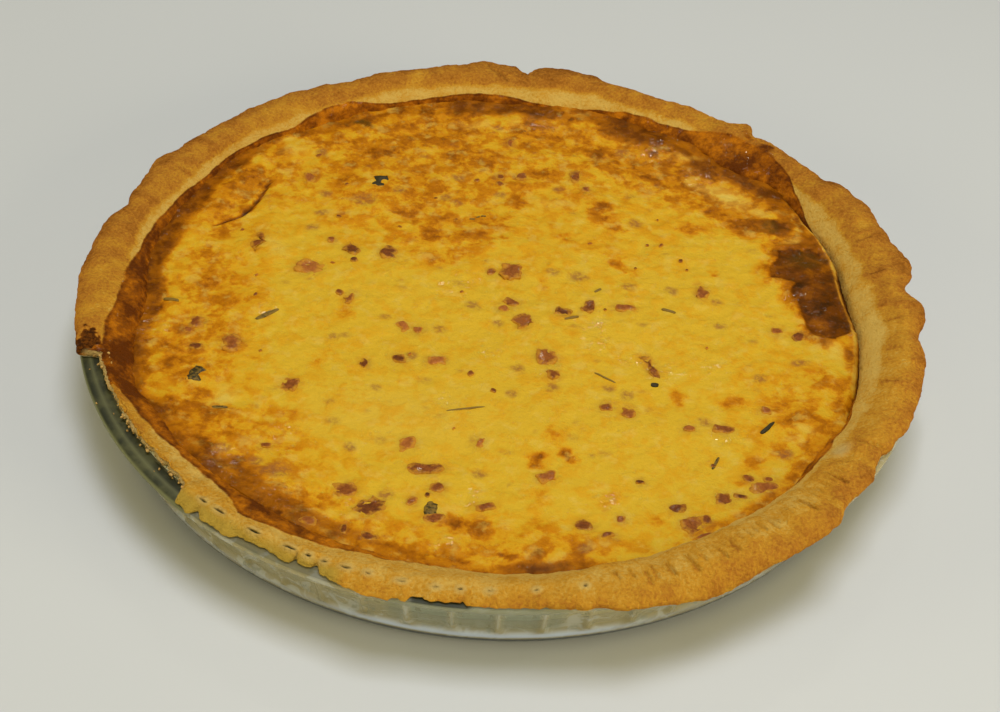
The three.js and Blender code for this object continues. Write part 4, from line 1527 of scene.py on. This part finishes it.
    # Ham that shows through the skin: x, y, length, width.
    ghosts: tuple = (
        (-52, 52, 10, 7), (-40, 60, 4, 4), (-66, 44, 4, 3), (-66, 55, 4, 4), (-68, 35, 4, 4),
        (-70, 82, 4, 4), (-22, 57, 4, 4), (-18, 54, 3, 3), (-19, 70, 4, 3), (-3, 61, 4, 3),
        (-5, 104, 3, 3), (43, 92, 4, 6), (26, 15, 7, 5), (17, 16, 4, 4), (44, 11, 4, 4), (58, 10, 4, 3),
        (74, 5, 4, 3), (47, 48, 4, 4), (19, 67, 4, 3), (-39, -12, 4, 2), (-20, -17, 4, 3),
        (-28, -31, 4, 4), (-10, -3, 4, 4), (-1, -12, 3, 3), (-65, -88, 10, 6), (-71, -84, 4, 4),
        (-82, -80, 4, 4), (-4, -84, 4, 3), (18, -43, 4, 4), (36, -42, 4, 3), (42, -45, 4, 4),
        (66, -55, 4, 4), (74, -8, 4, 3), (99, -24, 6, 3), (85, -34, 4, 5), (7, -34, 4, 3), (5, -47, 3, 3),
        (90, -69, 4, 4), (28, -113, 4, 3), (-31, -95, 4, 4), (-38, -48, 3, 3), (-44, -76, 3, 3),
        (-54, -24, 3, 3),
    )
    # Wet, glinting skin: x, y, size.
    glints: tuple = (
        (-66, -72, 9), (-80, -85, 9), (-66, -95, 8), (-78, -12, 6), (-114, -25, 8), (-14, -52, 6),
        (-3, -25, 6), (-38, -102, 7), (-12, -113, 7), (-12, 10, 6), (-20, 5, 6), (30, -11, 7),
        (33, -20, 7), (45, -28, 7), (17, -33, 6), (72, -62, 6), (71, -30, 6), (56, -32, 6), (35, -92, 5),
        (-5, -94, 5), (56, 95, 10), (12, 111, 10), (114, 33, 6), (120, -8, 6), (101, 8, 6), (70, 78, 8),
    )
    olive: tuple[Patch, ...] = patches(
        (-57, 102, 8, 5, 0.8), (95, 50, 12, 7, 0.4), (106, 31, 16, 10, 0.3), (-110, -11, 5, 2, 0.4),
    )
    flap: Line = Line(((-87, 62), (-90, 50), (-92, 43), (-95, 39), (-103, 33)), 1.6, 1.2)
    flap_skin: Patch = Patch(-97, 57, 19, 40, turn=-32)

    def skin_height(self, x: Array, y: Array, edge: Array) -> Array:
        """Height of the skin without its fine relief.

        Args:
            x, y: places.
            edge: radius of the skin's edge in the same direction.

        Returns:
            The height at each place.
        """
        swell = np.zeros_like(x)
        for at_x, at_y, size, height in self.swells:
            away = np.minimum(np.hypot(x - at_x, y - at_y) / size, 1)
            swell += height * (1 - away * away) ** 2
        from_puff = (edge - self.puff_from_edge - np.hypot(x, y)) / self.puff_width
        return CUSTARD_LEVEL - self.sunk_middle + self.puff_height * np.exp(-from_puff ** 2) + swell

    def climbing(self, azimuth: Array) -> Array:
        """1 where the skin's edge climbs the wall, 0 where it has shrunk from it."""
        return span(azimuth, 40, 330, 9)

    def edge_radius(self, azimuth: Array) -> Array:
        """Radius of the skin's edge."""
        wall = wall_radius(azimuth, WALL_EDGE_HEIGHT) + self.under_wall
        return wall + self.climb_out * self.climbing(azimuth) - 1.35 * sum_of_bumps(azimuth, self.shrunk)

    def wetness(self, x: Array, y: Array) -> Array:
        """Where the skin is wet and glints."""
        wet = np.zeros_like(x)
        for at_x, at_y, size in self.glints:
            wet = np.maximum(wet, fade(np.hypot(x - at_x, y - at_y) / size, 0.3, 1))
        return wet

    def relief(self, x: Array, y: Array) -> Array:
        """Fine relief of the skin: lumps, wrinkles and blisters."""
        where = flat(x, y)
        calm = Patch(5, -50, 150, 80).cover(x, y, 0.6)
        lively = 1 - 0.6 * calm
        lumps = 0.42 * grain(where, 13, 31, 2) + 0.34 * grain(where, 5, 32, 2) * lively
        wrinkles = (1 - np.abs(grain(where, 6, 34, 2))) ** 3
        fine = 0.1 + 0.12 * self.wetness(x, y)
        return lumps + 0.24 * wrinkles * lively + fine * grain(where, 2.2, 33, 2) * lively

    def height(self, x: Array, y: Array, azimuth: Array, edge: Array) -> Array:
        """Height of the skin with its relief, its edge, its flap and its torn place."""
        from_edge = edge - np.hypot(x, y)
        climbing = self.climbing(azimuth)
        gap = sum_of_bumps(azimuth, self.shrunk)
        height = self.skin_height(x, y, edge) + self.relief(x, y)
        level = climbing * fade(from_edge, 1.5, self.edge_width)
        height += level * (around(self.edge_level, azimuth) + 0.6 * grain(flat(x, y), 7, 49, 3) - height)
        height -= (1.3 + 0.5 * gap) * (1 - climbing) * fade(from_edge, 0, 2.0)
        rim = hump(from_edge, 1.9, 0.9) * span(azimuth, 346, 388, 6)
        height += self.skin_edge * rim
        outer_flap = Patch(-101, 52, 12, 34, turn=-25).cover(x, y, 0.7)
        height += 0.9 * outer_flap - self.flap.depth * self.flap.cover(x, y)
        torn = self.torn.inside(x + 0.8 * grain(flat(x, y), 4, 45), y)
        return height - 0.7 * smooth(torn, -0.6, 1.6) + 0.5 * hump(torn, -1.2, 1.0)

    def build(self) -> Piece:
        """The custard with its relief and its marks.

        Returns:
            The piece.
        """
        step = np.linspace(-1, 1, self.cells + 1)
        a, b = np.meshgrid(step, step, indexing="xy")
        wide = np.abs(a) > np.abs(b)
        reach = np.where(wide, a, b)
        ratio = np.where(wide, b, a) / np.where(reach == 0, 1, reach)
        angle = np.where(wide, np.pi / 4 * ratio, np.pi / 2 - np.pi / 4 * ratio)
        across, up = reach * np.cos(angle), reach * np.sin(angle)
        azimuth = np.degrees(np.arctan2(up, across)) % FULL_TURN
        edge = self.edge_radius(azimuth)
        x, y = across * edge, up * edge
        skin = np.stack([x, y, self.height(x, y, azimuth, edge)], -1).reshape(-1, 3)

        n = self.cells + 1
        index = np.arange(n * n).reshape(n, n)
        quads = np.stack([index[:-1, :-1], index[:-1, 1:], index[1:, 1:], index[1:, :-1]], -1)
        faces = quads.reshape(-1, 4).tolist()
        border = np.concatenate([index[0, :-1], index[:-1, -1], index[-1, :0:-1], index[:0:-1, 0]])
        side_azimuth = azimuth.reshape(-1)[border]
        rings = [border]
        points = [skin]
        count = n * n
        bottom = WALL_FOOT_HEIGHT + 0.3
        crevice = -0.8 * sum_of_bumps(side_azimuth, self.shrunk)
        for level in (self.puffed_floor, self.crevice_floor, bottom):
            into = self.under_wall if level < self.puffed_floor else crevice
            radius = wall_radius(side_azimuth, level) + into
            points.append(place(radius, side_azimuth, level * np.ones(len(border))))
            rings.append(np.arange(count, count + len(border)))
            count += len(border)
        points.append(np.array([[0, 0, bottom]]))
        for upper, lower in zip(rings, rings[1:]):
            faces.extend(zip(upper, lower, np.roll(lower, -1), np.roll(upper, -1)))
        faces.extend((corner, count, after) for corner, after in zip(rings[-1], np.roll(rings[-1], -1)))

        marks = self.marks(x, y, edge - np.hypot(x, y), azimuth)
        spare = count + 1 - n * n
        for name, values in marks.items():
            marks[name] = np.append(values.reshape(-1), np.full(spare, values[0, 0]))
        piece = mesh_piece("custard_skin", np.concatenate(points), faces, marks)
        piece.data.materials.append(self.finish.make())
        return piece

    def faint(self) -> list[Patch]:
        """Small scraps of ham that only just show through, spread at random."""
        chance = np.random.default_rng(self.faint_seed)
        rows = chance.random((self.faint_count, 5))
        x, y = place(SCATTER_RADIUS * np.sqrt(rows[:, 0]), FULL_TURN * rows[:, 1], 0)[:, :2].T
        long = 2.4 + 3.0 * rows[:, 2] ** 2
        turn, strength = 60 * rows[:, 3] - 30, 0.3 + 0.35 * rows[:, 4]
        return [Patch(*row) for row in zip(x, y, long, long * 0.7, strength, turn)]

    def marks(self, x: Array, y: Array, from_edge: Array, azimuth: Array) -> dict[str, Array]:
        """Where the skin is browned, pale, olive, wet or shows ham beneath.

        Args:
            x, y: places.
            from_edge: distance from the skin's edge.
            azimuth: of each place.

        Returns:
            The marks by name.
        """
        where = flat(x, y)
        wander_x = x + self.warp * grain(where, 8, 41, 4)
        wander_y = y + self.warp * grain(where, 8, 42, 4)
        broad = covered(self.zones, wander_x, wander_y, 1.0)
        rust = covered(self.rust, wander_x, wander_y, 0.9)
        dark = covered(self.dark, wander_x, wander_y, 0.4)
        wander = 2.2 * grain(where, 9, 43, 3)
        width = around(self.band, azimuth)
        band = around(self.band, azimuth, 2) * fade(from_edge + wander, 0.5 * width, width + 2)
        band = band + 0.08 * band * grain(where, 7, 50, 3)
        rim = 0.74 * span(azimuth, 140, 238, 6) * fade(from_edge + 0.6 * wander, 2.8, 7.5)
        band = np.maximum(band, rim)
        torn = self.torn.inside(x + 1.6 * grain(where, 5, 46, 3), y + 1.6 * grain(where, 5, 47, 3))
        glow = 0.5 * fade(-torn, 0, 7)
        brown = np.maximum(1 - (1 - broad) * (1 - 0.85 * rust) * (1 - 0.5 * band) * (1 - glow), band)
        pale = covered(self.pale, wander_x, wander_y, 0.9)
        brown = np.maximum(brown * (1 - 0.55 * pale), dark * 0.95)
        burnt = (0.86 + 0.14 * grain(where, 7, 48, 3)) * smooth(torn, -0.9, 0.9)
        brown = np.maximum(brown, burnt)
        brown = np.maximum(brown, 0.56 * self.flap_skin.cover(wander_x, wander_y, 0.6))
        brown = np.maximum(brown, self.flap.cover(x, y) * 0.9)
        flake = hump(from_edge, 1.2, 0.7) * span(azimuth, 345, 386, 4)
        flake = flake * np.clip(0.7 + 0.8 * grain(where, 4, 51, 2), 0, 1)
        brown = brown * (1 - 0.9 * flake)
        ghost = np.zeros_like(x)
        near_x, near_y = x + 0.3 * (wander_x - x), y + 0.3 * (wander_y - y)
        for at_x, at_y, length, across in self.ghosts:
            shown = Patch(at_x, at_y, length + 1, across + 1, 0.85)
            ghost = np.maximum(ghost, shown.cover(near_x, near_y, 0.6))
        for faint in self.faint():
            ghost = np.maximum(ghost, faint.cover(near_x, near_y, 0.8))
        near_x, near_y = x + 0.4 * (wander_x - x), y + 0.4 * (wander_y - y)
        for at_x, at_y, length, across, turn in HAM_ROWS:
            beside = Patch(at_x, at_y, length + 3.4, across + 3.4, 0.45, turn)
            ghost = np.maximum(ghost, beside.cover(near_x, near_y, 0.8))
        pale = np.maximum(pale * (1 - 0.8 * np.clip(dark, 0, 1)), 0.8 * flake)
        wet = np.maximum(self.wetness(x, y), 0.14 * smooth(brown, 0.5, 0.85))
        olive = covered(self.olive, wander_x, wander_y, 0.6)
        return {"brown": np.clip(brown, 0, 1), "pale": pale, "ghost": ghost, "olive": olive,
                "wet": np.clip(wet, 0, 1)}


# ---------------------------------------------------------------- toppings

@dataclass
class Topping:
    """Small pieces of food set in the custard's skin."""

    name: str
    custard: Custard
    finish: HamFinish | HerbFinish
    rows: tuple  # x, y, length, width, turn in degrees, and for herbs how dark
    thickness: float
    sunk: float  # how far a piece's middle lies under the skin
    uneven: float  # how far the lumps go, as a share of the width
    crease: float  # 0 makes them round, 1 square

    def build(self) -> Piece:
        """The pieces, set a little into the skin.

        Returns:
            The piece.
        """
        rows = np.array(self.rows, float)
        x, y = rows[:, 0], rows[:, 1]
        azimuth = np.degrees(np.arctan2(y, x)) % FULL_TURN
        height = self.custard.height(x, y, azimuth, self.custard.edge_radius(azimuth))
        where = flat(x, y)
        marks = {
            "turn": np.radians(rows[:, 4] + 14 * grain(where, 3, 62)), "long": rows[:, 2] * MM,
            "wide": rows[:, 3] * MM, "shade": 0.5 + 0.5 * grain(where, 5, 61), "dark": rows[:, -1],
        }
        piece = mesh_piece(self.name, np.stack([x, y, height - self.sunk], -1), [], marks)
        return self.tree().grow(piece)

    def tree(self) -> Growth:
        """The tree that sets an uneven block on each point."""
        tree = Growth(self.name + "_in_the_skin")
        thick = tree.size("Thickness", self.thickness * MM)
        uneven = tree.size("Unevenness", self.uneven)
        crease = tree.size("Edge crease", self.crease)
        cube = tree.add("GeometryNodeMeshCube", {"Size": (1.08, 1.08, 1.15)})
        inputs = {"Mesh": cube.outputs[0], "Level": 3, "Edge Crease": crease}
        block = tree.add("GeometryNodeSubdivisionSurface", inputs).outputs[0]
        heart = tree.length(tree.vector_math("MULTIPLY", tree.position(), (2, 2, 0)))
        block = tree.keep(block, "from_heart", heart)
        size = tree.vector(X=tree.mark("long"), Y=tree.mark("wide"), Z=thick)
        blocks = tree.planted(block, tree.vector(Z=tree.mark("turn")), size)
        noise = tree.add("ShaderNodeTexNoise", {"Vector": tree.position(), "Scale": 300.0, "Detail": 1.0})
        shove = tree.vector_math("SUBTRACT", noise.outputs[1], (0.5, 0.5, 0.5))
        shove = tree.vector_math("MULTIPLY", shove, (1, 1, 0.4))
        offset = tree.vector_math("SCALE", shove, scale=tree.times(uneven, tree.mark("wide")))
        tree.finish(tree.moved(blocks, offset), self.finish.make())
        return tree


# Ham dice at the skin: x, y, length, width, turn in degrees.
HAM_ROWS = (
    (8, -11, 6, 7, 20), (4, -1, 6, 3, 150), (1, -4, 3, 3, 0), (3, 15, 6, 8, 0), (-4, 15, 3, 3, 0),
    (21, -5, 6, 4, 170), (30, -1, 3, 6, 160), (42, -1, 7, 3, 10), (-67, 12, 9, 7, 150),
    (-53, 23, 6, 5, 160), (-40, 22, 5, 6, 0), (-86, 24, 3, 9, 160), (-61, 28, 2, 3, 0),
    (-73, 65, 3, 5, 20), (0, 95, 2.5, 5, 0), (25, 75, 5, 6, 0), (29, 67, 3, 3, 0), (5, 73, 3, 4, 0),
    (-3, 72, 2, 3, 0), (69, 9, 3, 6, 0), (93, -8, 4, 3, 0), (100, -11, 4, 5, 20), (-51, -3, 3, 6, 160),
    (-32, -16, 3, 5, 20), (-27, -18, 3, 3, 0), (-20, -33, 6, 4, 0), (-32, -33, 4, 4, 0),
    (-43, -37, 2, 4, 0), (-65, -49, 5, 6, 0), (-87, -30, 5, 8, 20), (-100, -21, 4, 5, 0),
    (-102, -25, 3, 3, 0), (-98, -33, 4, 3, 0), (-26, -73, 5, 5, 20), (-4, -70, 2.5, 4.5, 0),
    (-20, -83, 10, 4, 0), (-16, -91, 4, 4, 0), (-43, -94, 6, 6, 10), (-35, -100.5, 8.5, 6.5, 35),
    (-23, -97, 2, 4, 0), (-1, -98, 6, 3, 0), (-16, -103, 6, 3, 0), (-52, -109, 5, 3, 0),
    (-42, -111, 2, 4, 0), (-34, -113, 5, 3, 0), (-69, -77, 3, 2, 0), (28, -103, 4.5, 5, 20),
    (35, -107, 4, 2, 20), (39, -100, 2.5, 2.5, 0), (45, -84, 2.5, 1.5, 0), (17, -84, 5, 4, 20),
    (16, -28, 6, 7, 10), (18, -37, 4, 4, 0), (50, -29, 3, 11, 15), (35, -51, 4, 3.5, 0),
    (42, -53, 4, 5, 0), (61, -59, 3, 3, 0), (72, -58, 7, 3.5, 5), (86, -49, 3, 3, 0), (83, -84, 9, 5, 10),
    (84, -80, 3, 2, 0), (78, -80, 3, 3, 0), (70, -90, 5, 5, 20), (75, -88, 4, 2, 0), (56, -94, 5, 4, 0),
    (60, -101, 6, 7, 30), (64, -99, 3, 3, 0), (63, -106, 5, 1.5, 30),
)
# Herb flakes, with how dark each one is as a sixth value.
HERB_ROWS = (
    (-47, 64, 6, 6, 20, 1), (-77.5, -14.5, 9, 1.6, 45, 0.4), (-95.5, -46.5, 4.6, 7.6, -20, 0.6),
    (-17, -100, 4, 6, 0, 0.5), (-86, -61, 5, 1.3, 0, 0.5), (86, -56.5, 7, 1.5, 50, 1),
    (51, -39, 2.4, 1.8, 0, 1), (68.5, -73.5, 6, 0.9, 59, 0.5), (24, -8, 5, 1.2, 20, 0),
    (57, -1, 5, 1.2, -20, 0), (35, -37, 8, 0.7, -27, 0.1), (-9, -55.5, 12, 0.7, 5, 0.1),
    (-12, 45, 2, 0.8, 0, 0.4), (-10, 46.5, 1.6, 0.7, 40, 0.3), (-8, 47, 1.8, 0.7, 0, 0.4),
    (33, 8, 3, 1, 30, 0.1), (-110, -11, 5, 1.3, 0, 0.3),
)


def scraps(count: int = 34, seed: int = 8) -> tuple:
    """Small scraps of ham all over the skin, as rows like those of the dice.

    Args:
        count: how many.
        seed: of the draw.

    Returns:
        The rows.
    """
    chance = np.random.default_rng(seed)
    radius = SCATTER_RADIUS * np.sqrt(chance.random(count))
    azimuth = chance.uniform(0, FULL_TURN, count)
    x, y = place(radius, azimuth, 0 * radius)[:, :2].T
    long = 1.1 + 1.7 * chance.random(count) ** 2
    wide = long * chance.uniform(0.5, 1, count)
    return tuple(zip(x, y, long, wide, chance.uniform(0, FULL_TURN / 2, count)))


@dataclass
class Crumbs:
    """Crumbs of the broken lip, on the bare rim and along the break."""

    pastry: PastryCase
    seed: int = 5
    on_rim: int = 6
    on_break: int = 110
    beside_tab: int = 14
    tab_height: float = 29.6
    finish: CrumbFinish = field(default_factory=CrumbFinish)

    def build(self) -> Piece:
        """The crumbs.

        Returns:
            The piece.
        """
        chance = np.random.default_rng(self.seed)
        azimuth = chance.uniform(BREAK_FROM, BREAK_TO, self.on_rim)
        radius = chance.uniform(135, 139.4, self.on_rim)
        height = np.full(self.on_rim, DISH_HEIGHT + 0.12)
        rim = np.stack([azimuth, radius, height, 0.35 + 0.4 * chance.random(self.on_rim) ** 2], -1)
        azimuth = chance.uniform(BREAK_FROM - 0.5, BREAK_TO, self.on_break)
        lip = self.pastry.lip(azimuth) - 0.5 + chance.uniform(-0.9, 0.5, self.on_break)
        height = DISH_HEIGHT + chance.uniform(0.3, 2.6, self.on_break)
        broken = np.stack([azimuth, lip, height, 0.45 + 0.55 * chance.random(self.on_break) ** 2], -1)
        azimuth = chance.uniform(198, 203, self.beside_tab)
        radius = chance.uniform(131, 134.5, self.beside_tab)
        height = np.full(self.beside_tab, self.tab_height)
        tab = np.stack([azimuth, radius, height, chance.uniform(0.4, 0.9, self.beside_tab)], -1)
        rows = np.concatenate([rim, broken, tab])
        marks = {"wide": rows[:, 3] * MM, "turn": chance.uniform(0, math.tau, len(rows)),
                 "lean": chance.uniform(0, math.tau, len(rows))}
        piece = mesh_piece("crust_crumbs", place(rows[:, 1], rows[:, 0], rows[:, 2]), [], marks)
        return self.tree().grow(piece)

    def tree(self) -> Growth:
        """The tree that sets a crumb on each point."""
        tree = Growth("crumbs_of_the_break")
        flatness = tree.size("Flatness", 0.7)
        ball = tree.add("GeometryNodeMeshIcoSphere", {"Radius": 0.6, "Subdivisions": 2}).outputs[0]
        turn = tree.vector(X=tree.mark("lean"), Y=tree.mark("turn"), Z=tree.mark("turn"))
        wide = tree.mark("wide")
        crumbs = tree.planted(ball, turn, tree.vector(X=wide, Y=wide, Z=tree.times(wide, flatness)))
        noise = tree.add("ShaderNodeTexNoise", {"Vector": tree.position(), "Scale": 2400.0, "Detail": 1.0})
        lump = tree.times(tree.math("SUBTRACT", noise.outputs[0], 0.5), 0.5 * MM)
        offset = tree.vector_math("SCALE", tree.add("GeometryNodeInputNormal").outputs[0], scale=lump)
        tree.finish(tree.moved(crumbs, offset), self.finish.make())
        return tree


# ---------------------------------------------------------------- studio

@dataclass(frozen=True)
class Lamp:
    """A square soft lamp that points at the quiche."""

    name: str
    place: tuple[float, float, float]  # in metres
    side: float  # in metres
    watts: float
    colour: Colour
    lights: bool = True  # whether it lights matt surfaces
    glints: bool = True  # whether it shows in glossy ones

    def hang(self) -> None:
        """Puts the lamp in the scene."""
        light = bpy.data.lights.new(self.name, "AREA")
        light.size = self.side
        light.energy = self.watts
        light.color = self.colour[:3]
        lamp = bpy.data.objects.new(self.name, light)
        lamp.location = self.place
        lamp.rotation_euler = (-Vector(self.place)).to_track_quat("-Z", "Y").to_euler()
        lamp.visible_diffuse = self.lights
        lamp.visible_glossy = self.glints
        bpy.context.scene.collection.objects.link(lamp)


@dataclass
class Studio:
    """The table, the light and the camera."""

    table_size: float = 16000.0
    sky: Colour = paint(246, 240, 196)
    sky_strength: float = 0.29
    lamps: tuple[Lamp, ...] = (
        Lamp("ceiling", (0.12, -0.03, 1.5), 0.66, 14.1, paint(245, 248, 255)),
        Lamp("window", (0.08, 0.8, 0.95), 0.08, 2.4, paint(255, 250, 235), lights=False),
        Lamp("front", (-0.3, -1.0, 0.34), 0.56, 1.1, paint(255, 240, 180), glints=False),
        Lamp("left", (-1.05, -0.35, 0.35), 0.56, 3.5, paint(255, 243, 196), glints=False),
        Lamp("right", (0.95, -0.55, 0.35), 0.56, 6.4, paint(255, 243, 204), glints=False),
    )
    camera_place: tuple[float, float, float] = (0.0007, -0.4399, 0.3802)
    camera_right: tuple[float, float, float] = (0.99842, 0.03682, 0.04241)
    camera_up: tuple[float, float, float] = (-0.05617, 0.65456, 0.75391)
    camera_back: tuple[float, float, float] = (0.0, -0.7551, 0.6556)
    lens_mm: float = 59.98
    sensor_mm: float = 36.0
    finish: TableFinish = field(default_factory=TableFinish)

    def table(self) -> None:
        """The table top, which isn't part of the object."""
        half = self.table_size / 2
        corners = np.array([[-half, -half, 0], [half, -half, 0], [half, half, 0], [-half, half, 0]])
        floor = mesh_piece("table_top", corners, [[0, 1, 2, 3]], {})
        floor.data.materials.append(self.finish.make())

    def light(self) -> None:
        """The sky and the lamps."""
        world = bpy.data.worlds.new("studio")
        world.use_nodes = True
        background = world.node_tree.nodes["Background"]
        background.inputs["Color"].default_value = self.sky
        background.inputs["Strength"].default_value = self.sky_strength
        scene = bpy.context.scene
        scene.world = world
        scene.view_settings.view_transform = "Standard"
        scene.view_settings.look = "None"
        for lamp in self.lamps:
            lamp.hang()

    def camera(self) -> None:
        """The camera."""
        data = bpy.data.cameras.new("camera")
        data.lens = self.lens_mm
        data.sensor_width = self.sensor_mm
        camera = bpy.data.objects.new("camera", data)
        turn = Matrix([self.camera_right, self.camera_up, self.camera_back]).transposed()
        camera.matrix_world = Matrix.Translation(self.camera_place) @ turn.to_4x4()
        bpy.context.scene.collection.objects.link(camera)
        bpy.context.scene.camera = camera

    def build(self) -> None:
        """All of the studio."""
        self.table()
        self.light()
        self.camera()


# ---------------------------------------------------------------- the whole

def seat(piece: Piece, *nodes: str) -> None:
    """Lets a piece ride on the body and stand for nodes, and reports it."""
    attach(piece, BODY)
    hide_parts(*nodes)
    log.info("%s: %d faces", piece.name, len(piece.data.polygons))


def main() -> None:
    """Builds the quiche and its studio."""
    logging.basicConfig(level=logging.INFO, format="%(message)s")
    pastry = PastryCase()
    custard = Custard()
    seat(GlassDish().build(), "glass_dish")
    seat(pastry.build(), "pastry_case")
    seat(custard.build(), "custard_filling")
    ham = Topping("ham_dice", custard, HamFinish(), HAM_ROWS + scraps(), 1.8, 0.6, 0.75, 0.35)
    herbs = Topping("herb_flakes", custard, HerbFinish(), HERB_ROWS, 0.9, 0.2, 0.6, 0.3)
    seat(ham.build(), "custard_filling")
    seat(herbs.build(), "custard_filling")
    seat(Crumbs(pastry).build())
    Studio().build()


if __name__ == "__main__":
    main()
